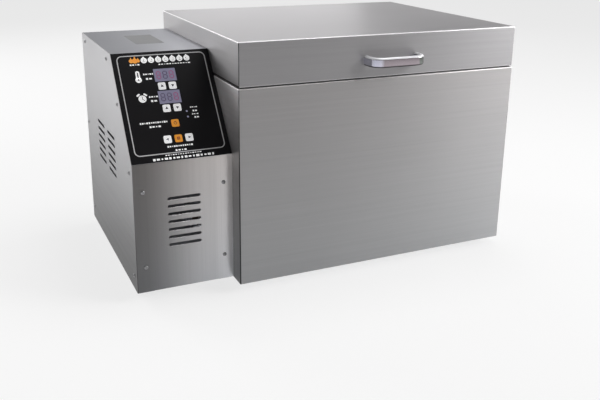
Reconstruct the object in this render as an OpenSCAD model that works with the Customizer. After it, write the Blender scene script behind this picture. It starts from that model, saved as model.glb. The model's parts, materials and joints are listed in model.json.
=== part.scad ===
// Tabletop drum roaster for chestnuts: an insulated steel cabinet with a hinged lid, a slotted
// roasting drum turning over tubular heaters, and a control housing on the left-hand side.
// Millimetres, +Z up, the front faces -Y. The parts are drawn from the front left bottom corner
// of the cabinet, and placed() moves them so that the origin is on the floor, under the middle
// of the whole machine.

/* [Cabinet] */
// Width of the roasting cabinet
cabinet_w = 600; // [570:10:700]
// Depth of the roasting cabinet
cabinet_d = 490; // [480:10:560]
// Height of the cabinet walls, from their bottom edge to the rim
cabinet_h = 376; // [372:2:420]
// Thickness of the outer sheet steel
sheet_t = 1.5; // [1:0.1:1.8]
// Outside radius of the bends in the sheet steel
bend_r = 2.5; // [2:0.1:3]
// Width of the flange folded inwards round the rim
rim_w = 18; // [12:1:24]
// Width of the flange folded inwards round the bottom and the back corners
fold_w = 16; // [12:1:22]
// Thickness of the bottom plate
base_t = 1.5; // [1:0.1:3]
// Thickness of the liner steel
liner_t = 1.2; // [0.8:0.1:2]
// Insulation between the liner and each end wall
end_insulation = 34; // [28:1:40]
// Clearance left round the insulation and between nested sheets
sheet_gap = 0.5; // [0.3:0.1:1]

/* [Feet] */
// Height of the rubber feet
foot_h = 18; // [14:1:30]
// Diameter of a foot where it meets the machine
foot_d = 34; // [28:1:44]
// How much narrower a foot is at the floor
foot_taper = 6; // [2:1:8]
// Distance from the machine's edges to the middle of a foot
foot_inset = 60; // [46:1:80]

/* [Drum] */
// Gap between the drum and the cabinet's rim
drum_top_gap = 16; // [15:1:22]
// Gap between the drum and the end walls of the chamber
drum_end_gap = 23.3; // [21:0.1:30]
// Thickness of the drum sheet
drum_t = 1.5; // [1:0.1:2.5]
// Gap between the drum and the trough below it
trough_gap = 36; // [32:1:37]
// Insulation below the trough
bottom_insulation = 23.8; // [18:0.1:30]
// Slots round the drum
slots_around = 18; // [12:1:22]
// Slots along the drum
slots_along = 6; // [4:1:7]
// Length of a drum slot
slot_l = 54; // [30:1:58]
// Width of a drum slot
slot_w = 7; // [4:0.5:10]
// Height of the flights that lift the nuts
flight_h = 24; // [15:1:34]
// Thickness of a flight
flight_t = 2; // [1.5:0.5:4]
// Length of the loading opening
mouth_l = 180; // [140:5:190]
// Half of the angle that the loading opening spans
mouth_half_angle = 27; // [20:1:30]

/* [Drum bearings] */
// Diameter of the drive shaft
shaft_d = 12; // [10:0.5:16]
// Diameter of the journal at the free end of the drum
journal_d = 20; // [16:1:24]
// Running clearance of a shaft in its bearing, on the radius
running_gap = 0.05; // [0.02:0.01:0.1]
// Diameter of the slotted drive coupling
coupling_d = 46; // [44:1:60]
// Thickness of the drum's drive tongue
tongue_t = 12; // [8:0.5:14]
// Width of the drum's drive tongue
tongue_w = 36; // [28:1:40]

/* [Heaters] */
// Radius of a heater tube
heater_tube_r = 5; // [3.5:0.5:6]
// Half the distance between the two legs of a heater
heater_bend_r = 18; // [14:1:22]
// Gap between the drum and the heaters
heater_gap = 17; // [15:0.5:19]
// Angle between neighbouring heaters
heater_step = 32; // [20:1:38]

/* [Lid] */
// Height of the lid's side walls
lid_h = 81; // [60:1:110]
// Gap between the lid and the cabinet's rim
lid_gap = 2; // [1.5:0.1:4]
// How far the lid stands back from the cabinet's front and sides
lid_inset = 0.8; // [0.5:0.1:2]
// Rise of the lid's inner pan above its edge
pan_rise = 14; // [8:1:30]
// Width of the gasket
gasket_w = 8; // [6:1:10]
// Distance from the lid's edge to the gasket
gasket_inset = 4; // [3:0.5:6]

/* [Handle] */
// Distance between the handle's two screws
handle_pitch = 109; // [90:1:200]
// How far the handle stands to the right of the lid's middle
handle_shift = 9; // [-20:1:20]
// Distance from the lid to the front of the handle
handle_reach = 38; // [30:1:50]
// Height of the handle's oval bar
handle_bar_h = 19; // [12:1:22]
// Thickness of the handle's oval bar
handle_bar_t = 9; // [7:0.5:11]
// Radius of the handle's corners, at the middle of the bar
handle_bend_r = 20; // [12:1:20]
// Height of the handle above the lid's bottom edge
handle_z = 33; // [24:1:40]

/* [Hinges] */
// Distance between the two hinges
hinge_pitch = 380; // [200:10:420]
// Length of a hinge
hinge_l = 70; // [50:2:90]
// Height of a hinge leaf
leaf_h = 34; // [28:1:44]
// Thickness of a hinge leaf
leaf_t = 2; // [1.5:0.1:3]
// Outer radius of the hinge barrel
barrel_r = 5; // [4.5:0.1:6]
// Radius of the hinge pin
hinge_pin_r = 2.5; // [2:0.1:3]
// Angle at which the hinge's heel stops the lid
lid_stop_angle = 100; // [92:1:110]

/* [Control housing] */
// Width of the control housing
housing_w = 186; // [176:1:230]
// How far the housing's front stands back from the cabinet's front
housing_set_back = 38; // [20:1:60]
// How far the housing's back stands in front of the cabinet's back
housing_back_inset = 26; // [10:1:50]
// Height of the housing, from its bottom edge
housing_h = 422; // [400:2:440]
// Height of the sloped panel, from its lower edge to the housing's top
slope_rise = 174; // [170:1:190]
// Depth that the sloped panel leans back over
slope_depth = 132.5; // [120:0.5:150]
// Thickness of the housing's sheet steel
housing_t = 1.2; // [0.8:0.1:1.5]
// Width of the flanges that the housing's covers screw to
housing_fold_w = 30; // [28:1:36]

/* [Vents] */
// Length of a vent slot in the front plate
front_vent_l = 62; // [40:1:80]
// Vent slots in the front plate
front_vent_rows = 7; // [3:1:9]
// Length of a vent slot in the side panel
side_vent_l = 66; // [40:1:74]
// Vent slots in each column of the side panel
side_vent_rows = 6; // [3:1:8]
// Width of a vent slot
vent_w = 6; // [3:0.5:8]
// Distance between vent slots
vent_step = 15; // [12:0.5:16]
// Distance between the two columns of side vents
side_vent_pitch = 95; // [88:1:110]

/* [Control panel] */
// Thickness of the black panel overlay
overlay_t = 1; // [0.8:0.1:1.5]
// Width of a key
key_w = 14; // [10:0.5:15]
// Height of a key
key_h = 14.5; // [10:0.5:15]
// Distance between neighbouring keys
key_pitch = 20; // [18.5:0.5:22]
// How far a key stands out of the overlay
key_proud = 0.6; // [0.5:0.1:1]
// How far a key travels when it is pressed
key_travel = 0.5; // [0.3:0.1:0.5]
// Clearance round a key
key_gap = 0.25; // [0.15:0.05:0.4]
// Width of a display window
display_w = 41; // [36:0.5:46]
// Height of a display window
display_h = 26; // [20:0.5:27]

/* [Drive] */
// Side of the square gearbox
gearbox_side = 80; // [70:1:90]
// Length of the gearbox
gearbox_l = 43; // [35:1:50]
// Length of the motor
motor_l = 86; // [70:1:95]
// Distance from the gearbox's centre up to its output shaft
output_offset = 10; // [6:1:14]
// Length of the spacers between the gearbox and the wall
spacer_l = 12; // [9:1:15]

/* [Hidden] */
$fn = 48;
eps = 0.01;
// Length of a cut that passes through sheet metal, half of it on each side
cut = 10;

steel = [0.72, 0.72, 0.73];
liner_steel = [0.66, 0.66, 0.67];
zinc = [0.78, 0.78, 0.80];
wool = [0.86, 0.83, 0.74];
black = [0.06, 0.06, 0.07];
orange = [0.93, 0.55, 0.10];
white = [0.93, 0.93, 0.93];

// Levels and centres
cabinet_z = foot_h;
rim_z = cabinet_z + cabinet_h;
base_top_z = cabinet_z + base_t;
deck_z = rim_z - sheet_t - liner_t;
drum_bottom_z = base_top_z + sheet_t + bottom_insulation + liner_t + trough_gap;
drum_r = (rim_z - drum_top_gap - drum_bottom_z) / 2;
axis_y = cabinet_d / 2;
axis_z = drum_bottom_z + drum_r;
trough_r = drum_r + trough_gap;
heater_r = drum_r + heater_gap + heater_tube_r;
liner_x = sheet_t + end_insulation;
liner_l = cabinet_w - 2 * liner_x;
chamber_x = liner_x + liner_t;
chamber_end_x = cabinet_w - chamber_x;
drum_x = chamber_x + drum_end_gap;
drum_end_x = chamber_end_x - drum_end_gap;
drum_l = drum_end_x - drum_x;
lid_z = rim_z + lid_gap;
lid_top_z = lid_z + lid_h;

// Screws: shank radius, head radius and head height
small_screw = [2, 3.9, 2];
medium_screw = [2.5, 4.8, 2.8];

// Hinge places
hinge_axis_y = cabinet_d + barrel_r + 0.5;
hinge_axis_z = rim_z + lid_gap / 2;
hinge_xs = [for (side = [-1, 1]) cabinet_w / 2 + side * hinge_pitch / 2];
knuckle_l = hinge_l * 0.4;
knuckle_gap = 0.4;
heel_l = 14;
heel_t = 3;
heel_gap = 0.2;
heel_rest_angle = lid_stop_angle - 90;
heel_drop = hinge_axis_y - cabinet_d - leaf_t - heel_gap;
hinge_screw_step = hinge_l / 2 - 13;
hinge_screw_rise = leaf_h * 0.66;

// Housing outline in (Y, Z), counter-clockwise from the lower front corner
housing_y = housing_set_back;
housing_back_y = cabinet_d - housing_back_inset;
housing_top_z = cabinet_z + housing_h;
slope_z = housing_top_z - slope_rise;
slope_l = norm([slope_depth, slope_rise]);
slope_angle = atan2(slope_rise, slope_depth);
housing_outline = [
    [housing_y, cabinet_z], [housing_back_y, cabinet_z], [housing_back_y, housing_top_z],
    [housing_y + slope_depth, housing_top_z], [housing_y, slope_z]
];
side_screw_front = 24;
side_screw_rear = 13;
side_screw_top = 14.5;
side_screw_low_z = cabinet_z + 27;
side_screw_high_z = slope_z - 21;
side_screw_places = [
    [housing_y + side_screw_front, side_screw_low_z],
    [housing_y + side_screw_front, side_screw_high_z],
    slope_point(slope_l * 0.58, side_screw_top + 5),
    [housing_y + slope_depth + 39, housing_top_z - side_screw_top],
    [housing_back_y - 33, housing_top_z - side_screw_top],
    [housing_back_y - side_screw_rear, side_screw_high_z],
    [housing_back_y - side_screw_rear, side_screw_low_z]
];
front_screw_side = 17.5;
front_screw_zs = [cabinet_z + 50, slope_z - 53];
front_screw_places = [
    for (x = [-housing_w + front_screw_side, -front_screw_side], z = front_screw_zs) [x, z]
];
front_vent_z = cabinet_z + 87;
side_vent_y = housing_y + 170;
side_vent_z = cabinet_z + 184;

// Control panel places, from the middle of the sloped panel's width and down from its top edge
display_margin = 36.5;
display_gap = 2.3;
key_row_pitch = 30.3;
display_key_step = (display_h + key_h) / 2 + display_gap;
display_rows = [for (row = [0, 1]) display_margin + display_h / 2 + row * 2 * display_key_step];
key_rows = [
    for (step = [[0, 0], [1, 0], [1, 1], [1, 2]])
        display_rows[step[0]] + display_key_step + step[1] * key_row_pitch
];
lamp_step = 11;
lamp_across = 26;
lamp_places = [for (row = [0, 1]) [lamp_across, key_rows[1] + 9 + row * lamp_step]];
lamp_r = 1.9;
key_corner_r = 2.6;
key_flange = 0.75;
key_flange_t = 1;
key_rest_gap = 0.3;
key_stem = 2;
cut_margin = 0.3;
board_drop = 9;
board_t = 1.6;
board_w = 128;
board_start = display_margin - 16.5;
board_l = key_rows[3] + 18.5 - board_start;
board_mid = board_start + board_l / 2;
standoff_inset = 6;
standoff_thread_r = 1.5;

// Loading opening and its sliding hatch
hatch_lap = 8;
hatch_l = mouth_l + 2 * hatch_lap;
hatch_travel = mouth_l + 6;
rail_over = 4;
rail_l = hatch_l + hatch_travel + 2 * rail_over;
rail_x = drum_x + (drum_l - rail_l) / 2;
hatch_x = rail_x + rail_over;
mouth_start_x = hatch_x + hatch_lap;
hatch_t = 1.5;
hatch_float = 0.35;
hatch_half_angle = mouth_half_angle + 5;
hatch_r = drum_r + hatch_float;
rail_lip = 2;
rail_lap_angle = 2.4;
rail_width_angle = 2.2;
rail_gap_angle = 0.25;
rail_top_r = hatch_r + hatch_t + hatch_float + rail_lip;
end_disc_t = 2;
slots_first_angle = 270;
flight_angles = [30, 150, 270];

// Drive places
gearbox_y = axis_y;
gearbox_z = axis_z - output_offset;
gearbox_x = -housing_t - spacer_l;
bolt_reach = gearbox_side / 2 - 7;
bolt_r = 2.5;
bolt_places = [
    for (y = [-bolt_reach, bolt_reach], z = [-bolt_reach, bolt_reach])
        [gearbox_y + y, gearbox_z + z]
];
bolt_nut_h = 4;
shaft_tunnel_r = shaft_d / 2 + 5;
service_y = gearbox_y + gearbox_side / 2 + 3;
service_gap = 32;
terminal_setback = 8;
capacitor_size = [32, 50, 38];
capacitor_tab = [2, 10, 12];
capacitor_blade = [8, 6, 1];
capacitor_foot = [
    -housing_t, service_y - capacitor_tab[1], gearbox_z + gearbox_side / 2 + service_gap
];
relay_base = [5, 62, 46];
relay_cover = [23, 58, 40];
relay_post = [3, 4];
relay_foot = [-housing_t, service_y, gearbox_z - gearbox_side / 2 - service_gap];
terminal_way_l = 13;
terminal_rib = [11, 2, 28];
terminal_base_h = 9;
terminal_screw = 3;
terminal_foot = [-housing_t, service_y + terminal_setback, gearbox_z];
bush_flange_t = 2.5;
bush_wall = 4;
coupling_x = chamber_x + bush_flange_t + 1;
tongue_bite = 11;
tongue_gap = 0.15;
coupling_end_x = drum_x - 3;
tongue_slot_x = coupling_end_x - tongue_bite;
shaft_seat = 16;
heater_angles = [-heater_step, 0, heater_step];
heater_start_x = -14;
heater_end_x = drum_end_x - 4;
probe_y = axis_y + drum_r * 0.8;
probe_z = axis_z + drum_r * 0.65;
probe_r = 3;
cradle_t = 14;
cradle_w = 46;
cradle_down = 26;
cradle_up = 12;
cradle_screw_y = 16.5;
cradle_screw_z = axis_z - 15;
gland_x = -housing_w / 2;
gland_z = cabinet_z + 60;
gland_thread_r = 10;
gland_bore_r = 5;

// Extent of the whole machine, which fixes the origin
front_y = -handle_reach;
back_y = hinge_axis_y + heel_l * cos(heel_rest_angle) + heel_drop * sin(heel_rest_angle);
left_x = -housing_w - small_screw[2];
middle = [(left_x + cabinet_w) / 2, (front_y + back_y) / 2, 0];

// Outline helpers
function unit(v) = v / norm(v);
function left_normal(a, b) = let (d = unit(b - a)) [-d[1], d[0]];
function inset_corner(a, b, c, depth) =
    let (n1 = left_normal(a, b), n2 = left_normal(b, c)) b + depth * (n1 + n2) / (1 + n1 * n2);
function inset(points, depth) = [
    for (i = [0:len(points) - 1])
        inset_corner(points[(i + len(points) - 1) % len(points)], points[i],
                     points[(i + 1) % len(points)], depth)
];
// A point of the housing's side, measured up the slope and square into the housing
function slope_point(along, depth) = [
    housing_y + along * cos(slope_angle) + depth * sin(slope_angle),
    slope_z + along * sin(slope_angle) - depth * cos(slope_angle)
];

// Moves a part from the cabinet's corner to the machine's own origin
module placed() {
    translate(-middle) children();
}

// A box from its lowest to its highest corner
module block(low, high) {
    translate(low) cube(high - low);
}

// Extrudes a (Y, Z) outline along X
module along_x(x, length) {
    translate([x, 0, 0]) rotate([90, 0, 90]) linear_extrude(length) children();
}

// A sheet metal box with all of its edges bent
module folded_box(low, high, r) {
    size = high - low;
    intersection() {
        translate(low) linear_extrude(size[2]) bent_rect(size[0], size[1], r);
        along_x(low[0], size[0]) translate([low[1], low[2]]) bent_rect(size[1], size[2], r);
        translate([low[0], high[1], low[2]]) rotate([90, 0, 0]) linear_extrude(size[1])
            bent_rect(size[0], size[2], r);
    }
}

module bent_rect(w, h, r) {
    bent_outline([[0, 0], [w, 0], [w, h], [0, h]], r);
}

// A cylinder along X or along Y, starting at a point
module rod_x(start, length, r) {
    translate(start) rotate([0, 90, 0]) cylinder(h = length, r = r);
}

module rod_y(start, length, r) {
    translate(start) rotate([-90, 0, 0]) cylinder(h = length, r = r);
}

module rounded_rect(w, h, r) {
    square([w - 2 * r, h], center = true);
    square([w, h - 2 * r], center = true);
    for (x = [-1, 1], y = [-1, 1]) translate([x * (w / 2 - r), y * (h / 2 - r)]) circle(r);
}

// A counter-clockwise outline with every corner bent to a radius
module bent_outline(points, r) {
    centres = inset(points, r);
    count = len(points);
    polygon([
        for (i = [0:count - 1], edge = [i + count - 1, i])
            centres[i] - r * left_normal(points[edge % count], points[(edge + 1) % count])
    ]);
    for (centre = centres) translate(centre) circle(r);
}

module slot_outline(length, width) {
    square([length - width, width], center = true);
    for (side = [-1, 1]) translate([side * (length - width) / 2, 0]) circle(width / 2);
}

// Part of a ring between two angles less than 180 degrees apart
module ring_sector(r_in, r_out, from, to) {
    reach = r_out * 3;
    intersection() {
        difference() {
            circle(r_out, $fn = 180);
            circle(r_in, $fn = 180);
        }
        polygon([
            [0, 0], reach * [cos(from), sin(from)],
            reach * [cos((from + to) / 2), sin((from + to) / 2)], reach * [cos(to), sin(to)]
        ]);
    }
}

// A domed pan-head screw pointing along -Z, with its head's seat at z = 0
module pan_screw(size, length) {
    translate([0, 0, -length]) cylinder(h = length + eps, r = size[0]);
    rotate_extrude() difference() {
        intersection() {
            translate([0, size[2] - size[1] * 1.6]) circle(size[1] * 1.6, $fn = 96);
            square([size[1], size[2]]);
        }
        translate([-1, size[2] - 0.9]) square([1.9, 2]);
    }
}

// The sloped panel's own frame: X along its width from the left, Y down from its top edge
// turned to up the slope, Z out of its face
module on_slope() {
    translate([-housing_w, housing_y, slope_z]) rotate([slope_angle, 0, 0]) children();
}

// A place on the sloped panel, given from the middle of its width and down from its top edge
module at_panel(across, down) {
    on_slope() translate([housing_w / 2 + across, slope_l - down, 0]) children();
}

module at_axis() {
    translate([0, axis_y, axis_z]) children();
}

// Cabinet

module cabinet_wrap() {
    wall_d = cabinet_d - sheet_t;
    beyond = 20;
    inner_bend_r = bend_r - sheet_t;
    color(steel) difference() {
        union() {
            difference() {
                folded_box([0, 0, cabinet_z - beyond], [cabinet_w, cabinet_d + beyond, rim_z], bend_r);
                folded_box([sheet_t, sheet_t, cabinet_z - 2 * beyond],
                           [cabinet_w - sheet_t, cabinet_d + 2 * beyond, rim_z - sheet_t], inner_bend_r);
                // The opening inside the rim flange, which stops where the back panel's begins
                block([rim_w, rim_w, cabinet_z], [cabinet_w - rim_w, cabinet_d, rim_z + 1]);
                block([sheet_t, wall_d - rim_w, cabinet_z], [cabinet_w - sheet_t, cabinet_d, rim_z + 1]);
                block([-1, wall_d, cabinet_z - 2 * beyond],
                      [cabinet_w + 1, cabinet_d + beyond + 1, rim_z + 1]);
                block([-1, -1, cabinet_z - 2 * beyond], [cabinet_w + 1, cabinet_d, cabinet_z]);
            }
            // The flange round the bottom, on three sides, over the base plate
            difference() {
                block([sheet_t - 0.5, sheet_t - 0.5, base_top_z],
                      [cabinet_w - sheet_t + 0.5, wall_d - fold_w, base_top_z + sheet_t]);
                block([fold_w, fold_w, base_top_z - 1],
                      [cabinet_w - fold_w, cabinet_d, base_top_z + sheet_t + 1]);
            }
            // The folds at the back corners that the back panel is screwed to
            for (x = [sheet_t - 0.5, cabinet_w - fold_w])
                block([x, wall_d - sheet_t, base_top_z],
                      [x + fold_w - sheet_t + 0.5, wall_d, deck_z - sheet_gap]);
        }
        left_wall_holes(-1, sheet_t + 2, 0);
        for (place = back_screw_places)
            rod_y([place[0], cabinet_d - cut / 2, place[1]], cut, small_screw[0]);
    }
}

back_screw_places = [
    for (x = [fold_w / 2, cabinet_w - fold_w / 2], z = [0.12, 0.5, 0.82])
        [x, cabinet_z + cabinet_h * z]
];

module back_panel() {
    back_in = cabinet_d - sheet_t;
    color(steel) difference() {
        union() {
            intersection() {
                union() {
                    block([0, back_in, cabinet_z], [cabinet_w, cabinet_d, rim_z]);
                    block([sheet_t, back_in - rim_w, rim_z - sheet_t],
                          [cabinet_w - sheet_t, back_in + eps, rim_z]);
                }
                along_x(-1, cabinet_w + 2) bent_rect(cabinet_d, rim_z, bend_r);
            }
            block([sheet_t, back_in - fold_w, base_top_z],
                  [cabinet_w - sheet_t, back_in - sheet_t - sheet_gap, base_top_z + sheet_t]);
            block([fold_w + 1, back_in - sheet_t - sheet_gap - eps, base_top_z],
                  [cabinet_w - fold_w - 1, back_in + eps, base_top_z + sheet_t]);
        }
        for (place = back_screw_places)
            rod_y([place[0], cabinet_d - cut / 2, place[1]], cut, small_screw[0]);
        hinge_screw_holes(-1, cabinet_d - cut / 2, cut);
    }
}

// The screws that hold the back panel, and the hinges' screws into it
module back_panel_screws() {
    color(zinc) {
        for (place = back_screw_places)
            translate([place[0], cabinet_d, place[1]]) rotate([-90, 0, 0])
                pan_screw(small_screw, 2 * sheet_t);
        hinge_screws(-1);
    }
}

module base_plate() {
    gap = sheet_t + sheet_gap;
    color(steel) difference() {
        block([gap, gap, cabinet_z], [cabinet_w - gap, cabinet_d - gap, base_top_z]);
        for (place = cabinet_foot_places)
            translate([place[0], place[1], cabinet_z - 1]) cylinder(h = base_t + 2, r = medium_screw[0]);
    }
}

// The trough's outline at a radius: round below the axis and upright above it
module trough_outline(r, top) {
    translate([axis_y, axis_z]) {
        intersection() {
            circle(r, $fn = 180);
            translate([-r, -r]) square([2 * r, r]);
        }
        translate([-r, -eps]) square([2 * r, top - axis_z + eps]);
    }
}

module chamber_liner() {
    gap = bend_r + sheet_gap;
    color(liner_steel) difference() {
        union() {
            along_x(liner_x, liner_l) trough_outline(trough_r + liner_t, deck_z + liner_t);
            difference() {
                block([gap, gap, deck_z], [cabinet_w - gap, cabinet_d - gap, deck_z + liner_t]);
                for (x = [0, cabinet_w - fold_w - 1])
                    block([x, cabinet_d - fold_w, deck_z - 1],
                          [x + fold_w + 1, cabinet_d, deck_z + liner_t + 1]);
            }
        }
        along_x(chamber_x, chamber_end_x - chamber_x) trough_outline(trough_r, rim_z + 1);
        at_axis() rod_x([liner_x - 1, 0, 0], liner_t + 2, shaft_d / 2 + bush_wall);
        heater_holes(liner_x - 1, liner_t + 2, heater_tube_r);
        rod_x([liner_x - 1, probe_y, probe_z], liner_t + 2, probe_r);
        for (side = [-1, 1])
            rod_x([chamber_end_x - 1, axis_y + side * cradle_screw_y, cradle_screw_z],
                  liner_t + 2, medium_screw[0]);
    }
}

// Holes along X where the heater legs pass
module heater_holes(x, length, r) {
    at_axis() for (angle = heater_angles) rotate([angle, 0, 0]) for (side = [-1, 1])
        rod_x([x, side * heater_bend_r, -heater_r], length, r);
}

// Everything that passes from the housing through the cabinet's left wall
module left_wall_holes(x, length, slack) {
    at_axis() rod_x([x, 0, 0], length, shaft_tunnel_r + slack);
    heater_holes(x, length, heater_tube_r + 1 + slack);
    rod_x([x, probe_y, probe_z], length, probe_r + 0.5 + slack);
    for (place = bolt_places) rod_x([x, place[0], place[1]], length, bolt_r + slack);
}

module insulation() {
    gap = sheet_t + sheet_gap;
    low = base_top_z + sheet_t + sheet_gap;
    high = deck_z - sheet_gap;
    fold = sheet_t + sheet_gap;
    color(wool) {
        difference() {
            block([liner_x, gap, low], [liner_x + liner_l, cabinet_d - gap - fold, high]);
            along_x(liner_x - 1, liner_l + 2) trough_outline(trough_r + liner_t + sheet_gap, rim_z);
        }
        difference() {
            block([gap, gap, low], [liner_x - sheet_gap, cabinet_d - gap - fold, high]);
            left_wall_holes(0, liner_x + 1, 1);
            for (place = bolt_places)
                rod_x([0, place[0], place[1]], sheet_t + bolt_nut_h + 2, bolt_r * 2.6);
        }
        block([cabinet_w - liner_x + sheet_gap, gap, low],
              [cabinet_w - gap, cabinet_d - gap - fold, high]);
    }
}

// Heaters

module heater_tubes() {
    bend_x = heater_end_x - heater_bend_r - heater_tube_r;
    color([0.42, 0.36, 0.32]) at_axis() for (angle = heater_angles)
        rotate([angle, 0, 0]) translate([0, 0, -heater_r]) {
            for (side = [-1, 1])
                rod_x([heater_start_x, side * heater_bend_r, 0], bend_x - heater_start_x, heater_tube_r);
            translate([bend_x, 0, 0]) rotate([0, 0, -90]) rotate_extrude(angle = 180, $fn = 72)
                translate([heater_bend_r, 0]) circle(heater_tube_r);
        }
}

module heater_terminals() {
    bead_l = 7;
    stud_l = 16;
    color(zinc) at_axis() for (angle = heater_angles) rotate([angle, 0, 0]) for (side = [-1, 1])
        translate([heater_start_x, side * heater_bend_r, -heater_r]) rotate([0, -90, 0]) {
            cylinder(h = bead_l, r = heater_tube_r * 0.9);
            cylinder(h = bead_l + stud_l, r = 2);
            translate([0, 0, bead_l + 4]) cylinder(h = 3.2, r = 4, $fn = 6);
        }
}

module heater_supports() {
    support_t = 1.5;
    half_angle = heater_step + 14;
    color(liner_steel) for (share = [0.3, 0.7])
        difference() {
            along_x(chamber_x + (heater_end_x - chamber_x) * share, support_t)
                translate([axis_y, axis_z])
                    ring_sector(heater_r - heater_tube_r - 2, trough_r, 270 - half_angle, 270 + half_angle);
            heater_holes(0, cabinet_w, heater_tube_r);
        }
}

module temperature_probe() {
    reach = 12;
    collar_t = 3;
    collar_r = 7;
    color(steel) {
        rod_x([-reach, probe_y, probe_z], chamber_x + 2 * reach, probe_r);
        rod_x([chamber_x, probe_y, probe_z], collar_t, collar_r);
    }
}

// Bearings

module journal_cradle() {
    color([0.35, 0.33, 0.30]) difference() {
        block([chamber_end_x - cradle_t, axis_y - cradle_w / 2, axis_z - cradle_down],
              [chamber_end_x, axis_y + cradle_w / 2, axis_z + cradle_up]);
        at_axis() {
            rod_x([chamber_end_x - cradle_t - 1, 0, 0], cradle_t + 2, journal_d / 2 + running_gap);
            block([chamber_end_x - cradle_t - 1, -journal_d / 2 - running_gap, 0],
                  [chamber_end_x + 1, journal_d / 2 + running_gap, 20]);
        }
        for (side = [-1, 1])
            rod_x([0, axis_y + side * cradle_screw_y, cradle_screw_z], cabinet_w, medium_screw[0]);
    }
}

module cradle_screws() {
    color(zinc) for (side = [-1, 1])
        translate([chamber_end_x - cradle_t, axis_y + side * cradle_screw_y, cradle_screw_z])
            rotate([0, -90, 0]) pan_screw(medium_screw, cradle_t + liner_t);
}

module shaft_bushing() {
    bore_r = shaft_d / 2 + running_gap;
    color([0.72, 0.55, 0.28]) at_axis() difference() {
        union() {
            rod_x([liner_x - 6, 0, 0], chamber_x - liner_x + 6 + eps, shaft_d / 2 + bush_wall);
            rod_x([chamber_x, 0, 0], bush_flange_t, shaft_d / 2 + bush_wall + 5);
        }
        rod_x([liner_x - 10, 0, 0], 30, bore_r);
    }
}

// Feet

cabinet_foot_places = [
    for (x = [foot_inset, cabinet_w - foot_inset], y = [foot_inset, cabinet_d - foot_inset]) [x, y]
];
housing_foot_places = [
    for (y = [housing_y + foot_inset, housing_back_y - foot_inset]) [-housing_w + foot_inset, y]
];
foot_places = concat(cabinet_foot_places, housing_foot_places);
foot_recess_r = medium_screw[1] + 2.2;
foot_recess_h = 9;

module feet() {
    color(black) for (place = foot_places) translate([place[0], place[1], 0]) difference() {
        cylinder(h = foot_h, r1 = (foot_d - foot_taper) / 2, r2 = foot_d / 2);
        translate([0, 0, -1]) cylinder(h = foot_recess_h + 1, r = foot_recess_r);
        cylinder(h = foot_h + 1, r = medium_screw[0]);
    }
}

module foot_screws() {
    color(zinc) for (place = foot_places)
        translate([place[0], place[1], foot_recess_h]) rotate([180, 0, 0])
            pan_screw(medium_screw, foot_h - foot_recess_h + min(base_t, housing_t));
}

// Hinges

// A length of a hinge's barrel
module knuckle(x, length) {
    rod_x([x, hinge_axis_y, hinge_axis_z], length, barrel_r);
}

// Where a hinge's screws go: side is 1 above its axis, in the lid, and -1 below it
module at_hinge_screws(side) {
    for (x = hinge_xs, step = [-hinge_screw_step, 0, hinge_screw_step])
        translate([x + step, 0, hinge_axis_z + side * hinge_screw_rise]) children();
}

module hinge_screw_holes(side, y, depth) {
    at_hinge_screws(side) rod_y([0, y, 0], depth, small_screw[0]);
}

module hinge_screws(side) {
    at_hinge_screws(side) translate([0, cabinet_d + leaf_t, 0]) rotate([-90, 0, 0])
        pan_screw(small_screw, leaf_t + sheet_t);
}

module cabinet_hinge_leaves() {
    color(zinc) difference() {
        for (x = hinge_xs) {
            block([x - hinge_l / 2, cabinet_d, hinge_axis_z - leaf_h],
                  [x + hinge_l / 2, cabinet_d + leaf_t, hinge_axis_z - barrel_r - 1]);
            block([x - knuckle_l / 2, cabinet_d, hinge_axis_z - barrel_r - 1 - eps],
                  [x + knuckle_l / 2, cabinet_d + leaf_t, hinge_axis_z]);
            knuckle(x - knuckle_l / 2, knuckle_l);
        }
        hinge_pin_hole(hinge_pin_r);
        hinge_screw_holes(-1, cabinet_d - 1, leaf_t + 2);
    }
}

module hinge_pin_hole(r) {
    rod_x([0, hinge_axis_y, hinge_axis_z], cabinet_w, r);
}

module hinge_pins() {
    head_t = 1.5;
    end_gap = 0.3;
    reach = hinge_l / 2 + end_gap;
    color(zinc) for (x = hinge_xs) translate([x, hinge_axis_y, hinge_axis_z]) {
        rod_x([-reach - head_t / 2, 0, 0], 2 * reach + head_t, hinge_pin_r);
        for (start = [-reach - head_t, reach]) rod_x([start, 0, 0], head_t, hinge_pin_r + 1);
    }
}

module lid_hinge_leaves() {
    side_l = (hinge_l - knuckle_l) / 2 - knuckle_gap;
    color(zinc) difference() {
        for (x = hinge_xs) {
            block([x - hinge_l / 2, cabinet_d, hinge_axis_z + barrel_r + 1],
                  [x + hinge_l / 2, cabinet_d + leaf_t, hinge_axis_z + leaf_h]);
            for (start = [x - hinge_l / 2, x + hinge_l / 2 - side_l]) {
                block([start, cabinet_d, hinge_axis_z + barrel_r * 0.4],
                      [start + side_l, cabinet_d + leaf_t, hinge_axis_z + barrel_r + 1 + eps]);
                knuckle(start, side_l);
                // The heel meets the cabinet's leaf when the lid is fully open
                translate([start, hinge_axis_y, hinge_axis_z]) rotate([heel_rest_angle, 0, 0])
                    block([0, barrel_r * 0.6, -heel_drop], [side_l, heel_l, -heel_drop + heel_t]);
            }
        }
        hinge_pin_hole(hinge_pin_r + running_gap);
        hinge_screw_holes(1, cabinet_d - 1, leaf_t + 2);
    }
}

module lid_hinge_screws() {
    color(zinc) hinge_screws(1);
}

// Lid

lid_low = [lid_inset, lid_inset, lid_z];
lid_high = [cabinet_w - lid_inset, cabinet_d, lid_top_z];
handle_mid_x = cabinet_w / 2 + handle_shift;
handle_screw_xs = [for (side = [-1, 1]) handle_mid_x + side * handle_pitch / 2];
handle_mid_z = lid_z + handle_z;
handle_thread_l = 12.8;

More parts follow.
